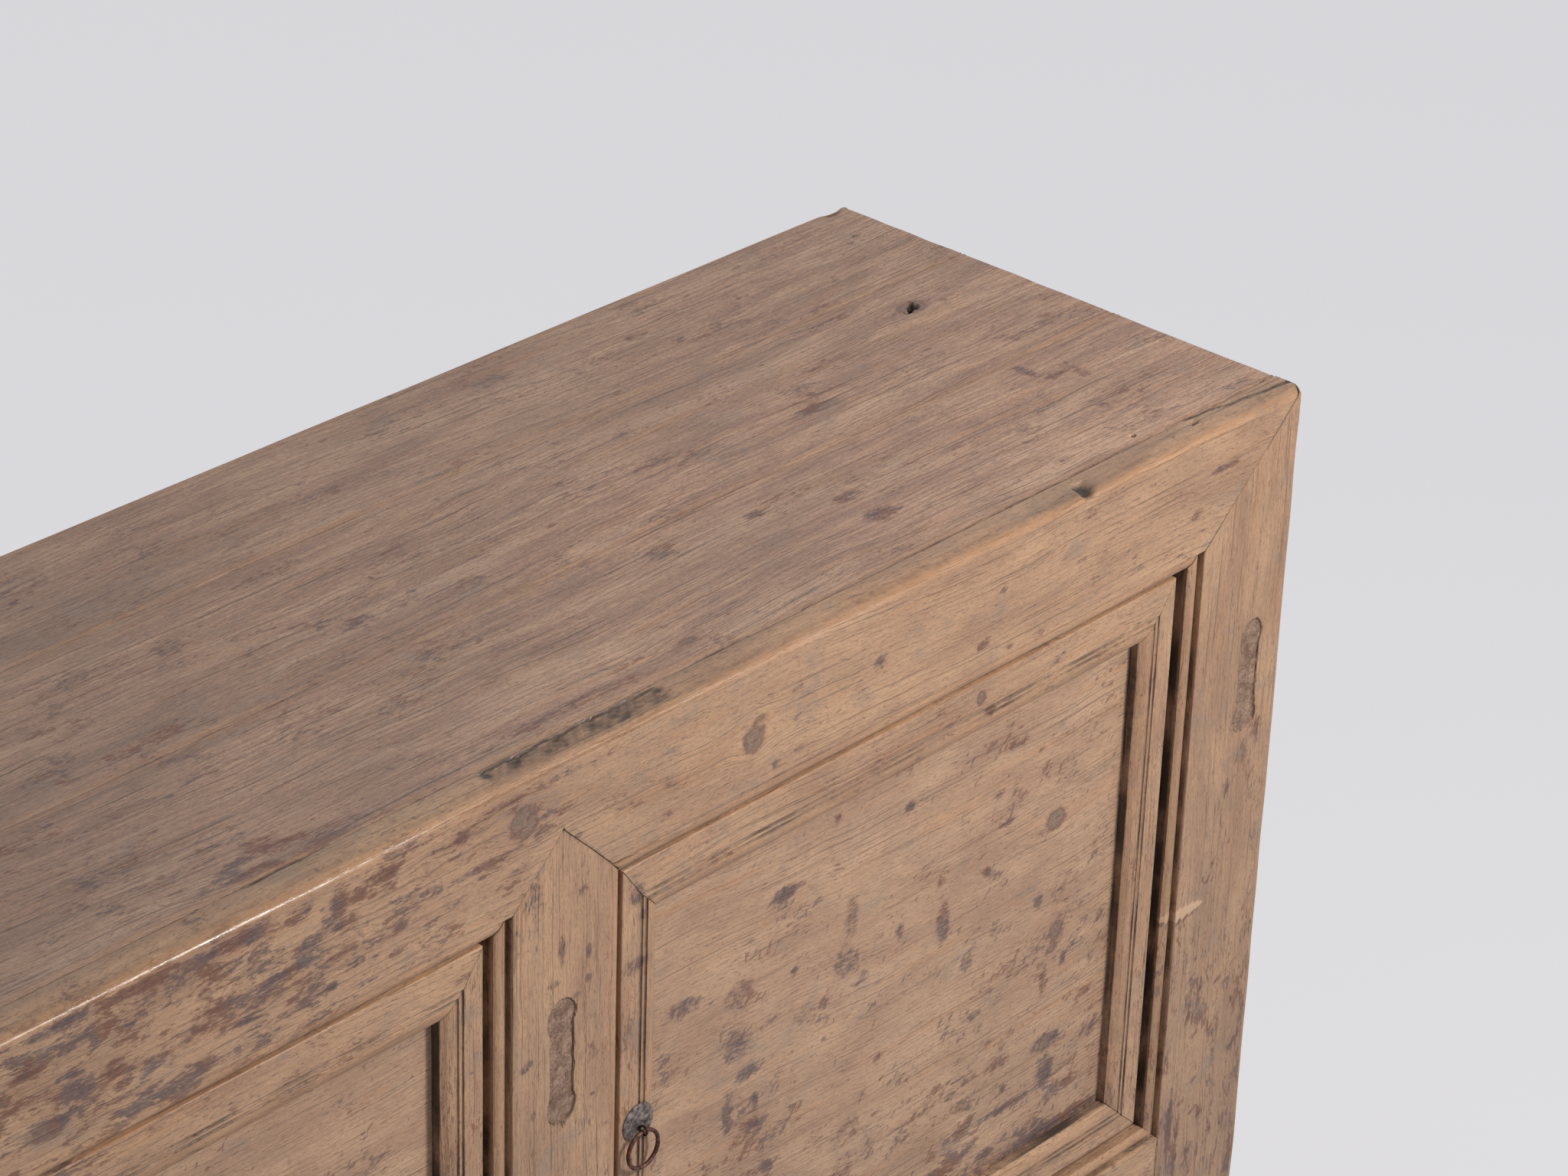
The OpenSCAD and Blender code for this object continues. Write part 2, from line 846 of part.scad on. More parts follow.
module front_apron() {
    inner = half_w - leg_w;
    y0 = front_y + bead_step + bead_rise;
    color(frame_tone) through_y(y0, y0 + apron_t) difference() {
        translate([-inner, sill_bottom - apron_h - bracket_h]) square([2 * inner, apron_h + bracket_h]);
        translate([bracket_w - inner, sill_bottom - apron_h - bracket_h - cut])
            square([2 * (inner - bracket_w), cut + bracket_h / 2]);
        translate([bracket_w - inner + bracket_h / 2, sill_bottom - apron_h - bracket_h])
            square([2 * (inner - bracket_w) - bracket_h, bracket_h]);
        for (s = [-1, 1])
            translate([s * (inner - bracket_w - bracket_h / 2), sill_bottom - apron_h - bracket_h / 2])
                circle(bracket_h / 2);
    }
}

module mortise_plugs() {
    color(plug_tone) for (x = plug_x)
        plug_shape(x, front_y + plug_sunk, front_y + plug_d, -fit);
}

module door_stops() {
    y = door_t + stop_gap;
    color(inner_tone) for (i = [0 : bays - 1]) place_door(i) {
        x = stop_inset - door_w(i) / 2;
        block([x, y, door_h + top_gap - stop_h], [x + stop_w, y + stop_t, door_h + top_gap]);
    }
}

// Doors, drawn with the pull stile on the left and placed by bay

function hinge_gap(i) = i == 1 ? middle_hinge_gap : end_hinge_gap;
function door_w(i) = opening_w - pull_gap - hinge_gap(i);
function hinge_side(i) = i == 0 ? -1 : 1;
function door_x(i) = (i - 1) * bay_step + hinge_side(i) * (pull_gap - hinge_gap(i)) / 2;

module place_door(i) {
    translate([door_x(i), front_y + door_set, door_z]) mirrored(hinge_side(i)) children();
}

// Pivot cylinder of one door, from z0 to z1 of the cabinet
module pivot(i, z0, z1, c) {
    translate([door_x(i) + hinge_side(i) * (door_w(i) / 2 - pivot_inset),
               front_y + door_set + pivot_depth, z0])
        cylinder(r = pin_r + c, h = z1 - z0);
}

// Section of a door member: first axis from the outer edge inwards, second into the wood
module moulded_section(flat) {
    difference() {
        square([flat + mould_w, door_t]);
        for (u = [groove_r, pair_w - groove_r]) translate([flat + u, 0]) circle(groove_r);
        difference() {
            translate([flat + pair_w, -ovolo_drop]) square([ovolo_w + cut, 2 * ovolo_drop]);
            translate([flat + pair_w, ovolo_r]) circle(ovolo_r);
        }
    }
}

// Face of the stile on the left in X and Z: its mitres run on past its outer edge at zero
module door_mitre(flat) {
    polygon([
        [-cut, -cut * bottom_flat / flat], [flat, bottom_flat], [flat + mould_w, door_bottom_h],
        [flat + mould_w, door_h - door_top_h], [flat, door_h - top_flat],
        [-cut, door_h + cut * top_flat / flat]
    ]);
}

module door_mitres(w) {
    translate([-w / 2, 0]) door_mitre(pull_flat);
    translate([w / 2, 0]) mirror([1, 0]) door_mitre(hinge_flat);
}

// Tenons of both door rails, from one stile to the other
module door_tenons(w, c) {
    reach = w / 2 - door_tenon_stop + c;
    low = door_bottom_h - panel_tongue - door_tenon_shoulder;
    high = door_h - door_top_h + panel_tongue + door_tenon_shoulder;
    y0 = door_tenon_y - c;
    y1 = door_tenon_y + door_tenon_t + c;
    block([-reach, y0, door_tenon_margin - c], [reach, y1, low + c]);
    block([-reach, y0, high - c], [reach, y1, door_h - door_tenon_margin + c]);
}

module door_board(w, play, c) {
    block([pull_stile_w - panel_tongue + play - w / 2, panel_recess - c, door_bottom_h - panel_tongue],
          [w / 2 - hinge_stile_w + panel_tongue - play, panel_recess + panel_t + c,
           door_h - door_top_h + panel_tongue - play]);
}

module door_upright(w, flat) {
    translate([-w / 2, 0, 0]) intersection() {
        linear_extrude(height = door_h) moulded_section(flat);
        union() {
            through_y(-cut, door_skin) door_mitre(flat);
            block([0, door_skin, 0], [flat + mould_w, door_t, door_h]);
        }
    }
}

module staple_hole(w) {
    translate([pull_inset - w / 2, -cut, door_h - pull_drop - staple_drop]) rotate([-90, 0, 0])
        cylinder(r = staple_hole_r, h = door_t + 2 * cut);
}

module door_pull_stile(i) {
    w = door_w(i);
    color(frame_tone) place_door(i) difference() {
        door_upright(w, pull_flat);
        door_tenons(w, fit);
        door_board(w, 0, fit);
        staple_hole(w);
    }
}

module door_hinge_stile(i) {
    w = door_w(i);
    color(frame_tone) {
        place_door(i) difference() {
            mirror([1, 0, 0]) door_upright(w, hinge_flat);
            door_tenons(w, fit);
            door_board(w, 0, fit);
        }
        pivot(i, door_z - bottom_pin_l, door_z + cut, 0);
        pivot(i, door_z + door_h - cut, door_z + door_h + top_pin_l, 0);
    }
}

// A door rail fills what the mitres leave, at the top or the bottom, and carries its own tenons
module door_rail(w, flat, z, upside_down) {
    difference() {
        union() {
            difference() {
                translate([0, 0, z]) mirror([0, 0, upside_down])
                    along_x(-w / 2, w / 2) mirror([1, -1]) moulded_section(flat);
                through_y(-cut, door_skin) door_mitres(w);
                block([-w / 2 - cut, door_skin, -cut],
                      [pull_stile_w - w / 2, door_t + cut, door_h + cut]);
                block([w / 2 - hinge_stile_w, door_skin, -cut],
                      [w / 2 + cut, door_t + cut, door_h + cut]);
            }
            intersection() {
                door_tenons(w, 0);
                translate([0, 0, z]) mirror([0, 0, upside_down])
                    block([-w, 0, 0], [w, door_t, flat + mould_w]);
            }
        }
        door_board(w, 0, fit);
        door_batten_stubs(fit);
    }
}

module door_bottom_rail(i) {
    color(frame_tone) place_door(i) door_rail(door_w(i), bottom_flat, 0, 0);
}

module door_top_rail(i) {
    color(frame_tone) place_door(i) door_rail(door_w(i), top_flat, door_h, 1);
}

module door_dovetail(c) {
    y = panel_recess + panel_t;
    h = door_h - door_bottom_h - door_top_h + 2 * panel_tongue;
    translate([0, 0, door_bottom_h - panel_tongue]) linear_extrude(height = h)
        polygon([
            [-door_dovetail_neck / 2 - c, y + cut], [door_dovetail_neck / 2 + c, y + cut],
            [door_dovetail_neck / 2 + c, y], [door_dovetail_root / 2 + c, y - door_dovetail_d - c],
            [-door_dovetail_root / 2 - c, y - door_dovetail_d - c], [-door_dovetail_neck / 2 - c, y]
        ]);
}

module door_batten_stubs(c) {
    block([-door_dovetail_neck / 2 - c, panel_recess + panel_t + fit, door_bottom_h - door_batten_stub - c],
          [door_dovetail_neck / 2 + c, door_t - door_tenon_shoulder + c,
           door_h - door_top_h + door_batten_stub + c]);
}

module door_panel(i) {
    w = door_w(i);
    color(panel_tone) place_door(i) difference() {
        door_board(w, swell, 0);
        door_dovetail(fit);
    }
}

module door_batten(i) {
    y = panel_recess + panel_t;
    color(inner_tone) place_door(i) {
        block([-door_batten_w / 2, y, door_bottom_h], [door_batten_w / 2, door_t, door_h - door_top_h]);
        intersection() {
            door_dovetail(0);
            block([-door_batten_w, 0, door_bottom_h], [door_batten_w, door_t, door_h - door_top_h]);
        }
        door_batten_stubs(0);
    }
}

// Iron pulls: plate, split staple and free ring

module place_pull(i) {
    place_door(i) translate([pull_inset - door_w(i) / 2, 0, door_h - pull_drop]) children();
}

module pull_plate(i) {
    color(iron_tone) place_pull(i) difference() {
        rotate([90, 0, 0]) rotate_extrude() polygon([
            [0, 0], [plate_r, 0], [plate_r, plate_edge_t], [plate_r - plate_bevel, plate_t], [0, plate_t]
        ]);
        translate([0, cut, -staple_drop]) rotate([90, 0, 0])
            cylinder(r = staple_hole_r, h = plate_t + 2 * cut);
    }
}

module pull_staple(i) {
    loop_r = eye_r + staple_r;
    root = eye_out - sqrt(pow(loop_r, 2) - pow(staple_leg_z, 2));
    color(iron_tone) place_pull(i) translate([0, 0, -staple_drop]) {
        translate([0, -eye_out, 0]) rotate([0, 90, 0]) rotate_extrude()
            translate([loop_r, 0]) circle(staple_r);
        for (s = [-1, 1]) translate([0, 0, s * staple_leg_z]) {
            translate([0, -root, 0]) rotate([-90, 0, 0])
                cylinder(r = staple_leg_r, h = root + door_t + 2 * staple_r);
            translate([0, door_t + staple_r, 0]) rotate([90 - s * 90, 0, 0])
                cylinder(r = staple_tail_r, h = staple_tail);
        }
    }
}

module pull_ring(i) {
    hang = eye_r - ring_wire_r - ring_play;
    color(iron_tone) place_pull(i) translate([0, -eye_out, -staple_drop - hang - ring_r])
        rotate([90, 0, 0]) rotate_extrude() translate([ring_r, 0]) circle(ring_wire_r);
}

front_left_leg();
front_right_leg();
back_left_leg();
back_right_leg();
front_top_rail();
front_bottom_rail();
left_front_stile();
right_front_stile();
left_side_top_rail();
right_side_top_rail();
left_side_bottom_rail();
right_side_bottom_rail();
left_side_panel();
right_side_panel();
back_top_rail();
back_bottom_rail();
back_stile(-1);  // back_left_stile
back_stile(1);  // back_right_stile
back_panel(0);  // back_left_panel
back_panel(1);  // back_middle_panel
back_panel(2);  // back_right_panel
top_front_plank();
top_middle_plank();
top_back_plank();
top_battens();
bottom_boards();
bottom_bearers();
inner_shelf();
shelf_bearers();
front_apron();
mortise_plugs();
door_stops();
door_pull_stile(0);  // left_door_pull_stile
door_hinge_stile(0);  // left_door_hinge_stile
door_top_rail(0);  // left_door_top_rail
door_bottom_rail(0);  // left_door_bottom_rail
door_panel(0);  // left_door_panel
door_batten(0);  // left_door_batten
pull_plate(0);  // left_pull_plate
pull_staple(0);  // left_pull_staple
pull_ring(0);  // left_pull_ring
door_pull_stile(1);  // middle_door_pull_stile
door_hinge_stile(1);  // middle_door_hinge_stile
door_top_rail(1);  // middle_door_top_rail
door_bottom_rail(1);  // middle_door_bottom_rail
door_panel(1);  // middle_door_panel
door_batten(1);  // middle_door_batten
pull_plate(1);  // middle_pull_plate
pull_staple(1);  // middle_pull_staple
pull_ring(1);  // middle_pull_ring
door_pull_stile(2);  // right_door_pull_stile
door_hinge_stile(2);  // right_door_hinge_stile
door_top_rail(2);  // right_door_top_rail
door_bottom_rail(2);  // right_door_bottom_rail
door_panel(2);  // right_door_panel
door_batten(2);  // right_door_batten
pull_plate(2);  // right_pull_plate
pull_staple(2);  // right_pull_staple
pull_ring(2);  // right_pull_ring
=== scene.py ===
import math

import bpy
import numpy as np
from mathutils import Matrix, Vector


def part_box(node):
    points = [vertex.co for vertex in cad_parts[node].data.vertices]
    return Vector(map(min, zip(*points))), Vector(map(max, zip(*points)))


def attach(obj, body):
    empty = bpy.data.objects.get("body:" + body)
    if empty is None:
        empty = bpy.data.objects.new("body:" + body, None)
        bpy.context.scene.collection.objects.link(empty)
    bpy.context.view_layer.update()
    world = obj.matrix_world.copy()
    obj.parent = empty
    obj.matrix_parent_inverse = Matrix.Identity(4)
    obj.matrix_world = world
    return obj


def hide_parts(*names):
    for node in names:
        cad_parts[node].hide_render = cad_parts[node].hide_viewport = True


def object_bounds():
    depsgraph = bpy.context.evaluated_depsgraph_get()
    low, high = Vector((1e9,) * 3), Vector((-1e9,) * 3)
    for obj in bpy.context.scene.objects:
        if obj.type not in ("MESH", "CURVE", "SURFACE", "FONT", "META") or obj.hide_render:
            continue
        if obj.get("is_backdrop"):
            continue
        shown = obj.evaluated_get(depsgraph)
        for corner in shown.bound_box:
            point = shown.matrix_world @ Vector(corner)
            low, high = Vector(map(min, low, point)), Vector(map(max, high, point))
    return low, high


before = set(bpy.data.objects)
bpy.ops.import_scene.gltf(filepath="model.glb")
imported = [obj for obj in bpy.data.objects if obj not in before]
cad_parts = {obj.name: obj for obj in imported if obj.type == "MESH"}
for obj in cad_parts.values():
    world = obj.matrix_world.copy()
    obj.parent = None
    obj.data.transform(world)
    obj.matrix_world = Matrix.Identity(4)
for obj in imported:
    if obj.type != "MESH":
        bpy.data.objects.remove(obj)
cad_low, cad_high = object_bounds()


# Camera. It stands to the left of the cabinet, above it, and looks down at the right end of the top
# and the front, with the long lens and the slight tilt of the photograph.

MM = 0.001
camera_place = Vector((-1.2737, -1.7714, 2.0909))
camera_azimuth = math.radians(48.30)
camera_fall = math.radians(28.27)
camera_roll = math.radians(1.93)
camera_lens = 106.97

level = math.cos(camera_fall)
look = Vector((math.sin(camera_azimuth) * level, math.cos(camera_azimuth) * level, -math.sin(camera_fall)))
lens = bpy.data.cameras.new("camera")
lens.lens = camera_lens
lens.sensor_width = 36
lens.clip_start = 0.05
lens.clip_end = 100
camera = bpy.data.objects.new("camera", lens)
camera.matrix_world = (
    Matrix.Translation(camera_place) @ look.to_track_quat("-Z", "Y").to_matrix().to_4x4()
    @ Matrix.Rotation(camera_roll, 4, "Z")
)
bpy.context.scene.collection.objects.link(camera)
bpy.context.scene.camera = camera
bpy.context.scene.view_settings.view_transform = "Standard"


# Studio light. One soft lamp stands to the right, in front and above, so that the front is the brightest
# side and the recesses that face left stay dark; a weak one behind and the white room fill the rest.

lamp_colour = (1.0, 0.965, 0.92)
room_colour = (0.93, 0.96, 1.0, 1.0)
room_light = 0.34
room_seen = 0.80
# The way to each lamp, how far it is, its size, its power, and the place it points at
lamps = {
    "window_lamp": (Vector((0.42, -0.70, 0.60)), 2.3, 0.5, 38.5, Vector((0.3, 0, 0.5))),
    "back_lamp": (Vector((-0.35, 0.88, 0.32)), 3.4, 1.4, 20, Vector((0, 0, 0.4))),
}
for name, (way, far, size, power, aim) in lamps.items():
    way.normalize()
    glow = bpy.data.lights.new(name, "AREA")
    glow.shape = "DISK"
    glow.size = size
    glow.energy = power
    glow.color = lamp_colour
    lamp = bpy.data.objects.new(name, glow)
    lamp.location = aim + way * far
    lamp.rotation_euler = (-way).to_track_quat("-Z", "Y").to_euler()
    bpy.context.scene.collection.objects.link(lamp)


def linear(code):
    """Linear colour, with alpha 1, of an sRGB hex value such as B08C74"""
    parts = [int(code[i : i + 2], 16) / 255 for i in (0, 2, 4)]
    return (*[c / 12.92 if c <= 0.04045 else ((c + 0.055) / 1.055) ** 2.4 for c in parts], 1.0)


def add(tree, kind, inputs=(), out=0, stops=(), **settings):
    """Adds a node and gives its output out, or all of them where out is None. The inputs are sockets to link,
    hex colours or values, in order or by name; stops fill a colour ramp; a kind may bring settings along"""
    kind, own = kind if isinstance(kind, tuple) else (kind, {})
    node = tree.nodes.new("ShaderNode" + kind)
    for key, value in (own | settings).items():
        setattr(node, key, value)
    for key, value in inputs.items() if isinstance(inputs, dict) else enumerate(inputs):
        if isinstance(value, bpy.types.NodeSocket):
            tree.links.new(value, node.inputs[key])
        else:
            node.inputs[key].default_value = linear(value) if isinstance(value, str) else value
    for i, (place, colour) in enumerate(stops):
        ramp = node.color_ramp.elements
        point = ramp[i] if i < 2 else ramp.new(place)
        point.position = place
        point.color = linear(colour)
    return node.outputs if out is None or not len(node.outputs) else node.outputs[out]


world = bpy.data.worlds.new("room")
world.use_nodes = True
bpy.context.scene.world = world
sky = world.node_tree
sky.nodes.clear()
ray = add(sky, "LightPath", out=None)
seen = add(sky, "Math", (ray["Is Camera Ray"], ray["Is Glossy Ray"]), operation="MAXIMUM")
fill = add(sky, "Background", {"Color": room_colour, "Strength": room_light})
bright = add(sky, "Background", {"Color": (1.0, 1.0, 1.0, 1.0), "Strength": room_seen})
add(sky, "OutputWorld", {"Surface": add(sky, "MixShader", (seen, fill, bright))})


# Floor. A plain pale studio floor under the cabinet, wide enough to fill the picture, of matt painted
# board; it isn't part of the object.

floor_half = 14.0
floor_even = 0.82


def new_material(name):
    """Material of that name with no nodes yet, and its tree"""
    stuff = bpy.data.materials.new(name)
    stuff.use_nodes = True
    stuff.node_tree.nodes.clear()
    return stuff, stuff.node_tree


floor_paint, tree = new_material("matt_floor_paint")
paint = add(tree, "BsdfDiffuse", {"Color": "E4E2E3"})
lit = add(tree, "Emission", {"Color": "E2E1E5", "Strength": 1.0})
share = add(tree, "Math", (add(tree, "LightPath", out="Is Camera Ray"), floor_even), operation="MULTIPLY")
add(tree, "OutputMaterial", {"Surface": add(tree, "MixShader", (share, paint, lit))})
floor_mesh = bpy.data.meshes.new("studio_floor")
corners = [(x * floor_half, y * floor_half, 0) for x, y in ((-1, -1), (1, -1), (1, 1), (-1, 1))]
floor_mesh.from_pydata(corners, [], [(0, 1, 2, 3)])
floor_mesh.materials.append(floor_paint)
studio_floor = bpy.data.objects.new("studio_floor", floor_mesh)
bpy.context.scene.collection.objects.link(studio_floor)
studio_floor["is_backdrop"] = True


# Top planks. Three long planks of old elm, tongued together, whose ends run out over the sides. They are
# planed by hand and scrubbed for decades, so that the seams are eased and the hard rings stand proud.

top_x = cad_high.x
top_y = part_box("front_right_leg")[0].y
top_z = cad_high.z
RIGHT, BACK, UP = np.eye(3)


def ripple(points, size, seed):
    """Smooth noise from about -1 to 1: the sum of sine waves in random directions, with lengths round size"""
    waves = 10
    rng = np.random.default_rng(seed)
    way = rng.normal(size=(waves, 3))
    way *= (2 * np.pi / size * rng.uniform(0.6, 1.7, waves) / np.linalg.norm(way, axis=1))[:, None]
    start = rng.uniform(0, 2 * np.pi, waves)
    return np.sin(points @ way.T + start).sum(1) / waves**0.5 / 1.3


def ramp(values, start, way):
    """0 up to start, then a straight rise to 1 over the way, which is negative where lower values rise"""
    return np.clip((values - start) / way, 0, 1)


def window(values, low, high, soft):
    """1 between low and high and 0 outside them, with straight ramps that are soft wide on the inside"""
    return ramp(values, low, soft) * ramp(values, high, -soft)


def span(length, step, fine=()):
    """Distances from 0 up to length: even steps, and closer ones round each fine (middle, reach, step)"""
    places = np.linspace(0, length, max(1, round(length / step)), endpoint=False)
    for middle, reach, close in fine:
        extra = middle + np.arange(-reach, reach + close / 2, close)
        extra = extra[(extra > close / 2) & (extra < length - close / 2)]
        keep = (abs(places - middle) > reach + close / 2) | (places == 0)
        places = np.concatenate([places[keep], extra])
    return np.sort(places)


def side(start, stop, step, wear=0.0, dirt_and_shade=0.0, fine=()):
    """Straight part of a section, with points step millimetres apart: rows of across, deep, wear, dirt"""
    a, b = np.array(start, float), np.array(stop, float)
    length = np.linalg.norm(b - a)
    t = span(length, step * MM, fine)[:, None] / length
    points = a + t * (b - a)
    return np.column_stack([points, np.full(len(t), wear), np.full(len(t), dirt_and_shade)])


def sides(*corners):
    """Straight parts of a section, end to end. Each corner is across and deep, and after the first also the
    step, wear, dirt and fine places of the part that leads to it"""
    return np.vstack([side(a[:2], b[:2], *b[2:]) for a, b in zip(corners, corners[1:])])


def arc(middle, radius, start, stop, count, wear=0.0, dirt_and_shade=0.0):
    """Round part of a section: the angle is 0 straight out of the face, and grows across it, in degrees"""
    a = np.radians(np.linspace(start, stop, count, endpoint=False))
    return np.column_stack([
        middle[0] + radius * np.sin(a), middle[1] - radius * np.cos(a),
        np.full(count, wear), np.full(count, dirt_and_shade),
    ])


def inset(section, depth):
    """The section with each point moved depth into the wood, along the mean normal of its two sides"""
    p = section[:, :2]
    t = np.roll(p, -1, 0) - np.roll(p, 1, 0)
    t /= np.maximum(np.linalg.norm(t, axis=1), 1e-9)[:, None]
    area = (p[:, 0] * np.roll(p[:, 1], -1) - np.roll(p[:, 0], -1) * p[:, 1]).sum()
    result = section.copy()
    result[:, :2] += np.column_stack([-t[:, 1], t[:, 0]]) * np.sign(area) * depth
    return result


def mark(along, section, dirt_and_shade=0.0):
    """One row of a member: the place along it of each point of the section, then the section's columns"""
    row = np.column_stack([np.broadcast_to(along, len(section)), section])
    row[:, 4] = np.maximum(row[:, 4], dirt_and_shade)
    return row


def member(section, start, stop, step, fine=(), middle=(), ease=0.5, shade=4, black=0.9):
    """Rows of along, across, deep, wear, dirt from start to stop, by way of the middle marks. Straight lines
    join them, step apart; the ends are drawn in by ease, and their dirt fades over shade, in millimetres"""
    small = inset(section, ease * MM)
    grime = np.maximum(section[:, 3], 0.5 * black)
    marks = [
        mark(start, small, black), mark(start + ease * MM, section, grime), mark(start + shade * MM, section),
        *middle,
        mark(stop - shade * MM, section), mark(stop - ease * MM, section, grime), mark(stop, small, black),
    ]
    return rows_between(marks, step, fine)


def rows_between(marks, step, fine=()):
    """Rows on the straight lines that join each mark to the next, step millimetres apart"""
    rows = []
    for first, last in zip(marks, marks[1:]):
        length = abs(last[:, 0] - first[:, 0]).mean()
        local = [(middle - first[:, 0].mean(), reach, close) for middle, reach, close in fine]
        t = span(length, step * MM, local) / length if length > 1e-7 else np.zeros(1)
        rows.append(first + t[:, None, None] * (last - first))
    rows.append(marks[-1][None])
    return np.concatenate(rows)


def closed_tube(rows):
    """Points and triangles of a tube whose rows go round a section, with a fan to the middle of each end"""
    m, n, width = rows.shape
    index = np.arange(m * n).reshape(m, n)
    a, b = index[:-1], np.roll(index[:-1], -1, 1)
    d, c = index[1:], np.roll(index[1:], -1, 1)
    wall = np.concatenate([np.stack([a, b, c], -1).reshape(-1, 3), np.stack([a, c, d], -1).reshape(-1, 3)])
    middles = np.stack([(rows[i].min(0) + rows[i].max(0)) / 2 for i in (0, -1)])
    start = np.stack([b[0], a[0], np.full(n, m * n)], -1)
    stop = np.stack([d[-1], c[-1], np.full(n, m * n + 1)], -1)
    return np.concatenate([rows.reshape(-1, width), middles]), np.concatenate([wall, start, stop])


def welded(points, places, faces):
    """Joins points that share a place, drops triangles without area, and turns the shell outwards"""
    _, first, index = np.unique(np.round(places / 1e-6).astype(np.int64), axis=0,
                                return_index=True, return_inverse=True)
    faces = index.reshape(-1)[faces]
    faces = faces[(faces[:, 0] != faces[:, 1]) & (faces[:, 1] != faces[:, 2]) & (faces[:, 2] != faces[:, 0])]
    places, points = places[first], points[first]
    a, b, c = (places[faces[:, i]] for i in range(3))
    if (a * np.cross(b, c)).sum() < 0:
        faces = faces[:, ::-1]
    return points, places, faces


def normals_of(places, faces):
    """Unit normal at each point: the sum of its triangles' normals, weighed by area"""
    a, b, c = (places[faces[:, i]] for i in range(3))
    flat = np.cross(b - a, c - a)
    total = np.stack([
        sum(np.bincount(faces[:, i], flat[:, k], len(places)) for i in range(3)) for k in range(3)
    ], -1)
    return total / np.maximum(np.linalg.norm(total, axis=1), 1e-12)[:, None]


sharp_edge = math.radians(42)


def mesh_piece(name, body, slot, stuff, places, faces, **values):
    """Object of those triangles, with its point attributes, on its body; the slot is not used. It stands for
    the
    CAD node of its name, where there is one"""
    mesh = bpy.data.meshes.new(name)
    mesh.vertices.add(len(places))
    mesh.vertices.foreach_set("co", places.astype(np.float32).ravel())
    mesh.loops.add(faces.size)
    mesh.loops.foreach_set("vertex_index", faces.astype(np.int32).ravel())
    mesh.polygons.add(len(faces))
    mesh.polygons.foreach_set("loop_start", np.arange(0, faces.size, 3, dtype=np.int32))
    mesh.update(calc_edges=True)
    mesh.validate()
    mesh.polygons.foreach_set("use_smooth", np.ones(len(mesh.polygons), bool))
    mesh.set_sharp_from_angle(angle=sharp_edge)
    for key, value in values.items():
        kind, field = ("FLOAT_VECTOR", "vector") if value.shape[1] == 3 else ("FLOAT_COLOR", "color")
        mesh.attributes.new(key, kind, "POINT").data.foreach_set(field, value.astype(np.float32).ravel())
    mesh.materials.append(stuff)
    piece = bpy.data.objects.new(name, mesh)
    bpy.context.scene.collection.objects.link(piece)
    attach(piece, body)
    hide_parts(*[node for node in (name,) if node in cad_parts])


# Kinds of node that the wood's formulas use most, with their settings
TIMES = ("Math", {"operation": "MULTIPLY"})
PLUS = ("Math", {"operation": "ADD"})
STEP = ("MapRange", {"interpolation_type": "SMOOTHSTEP"})
COAT = ("Mix", {"data_type": "RGBA"})


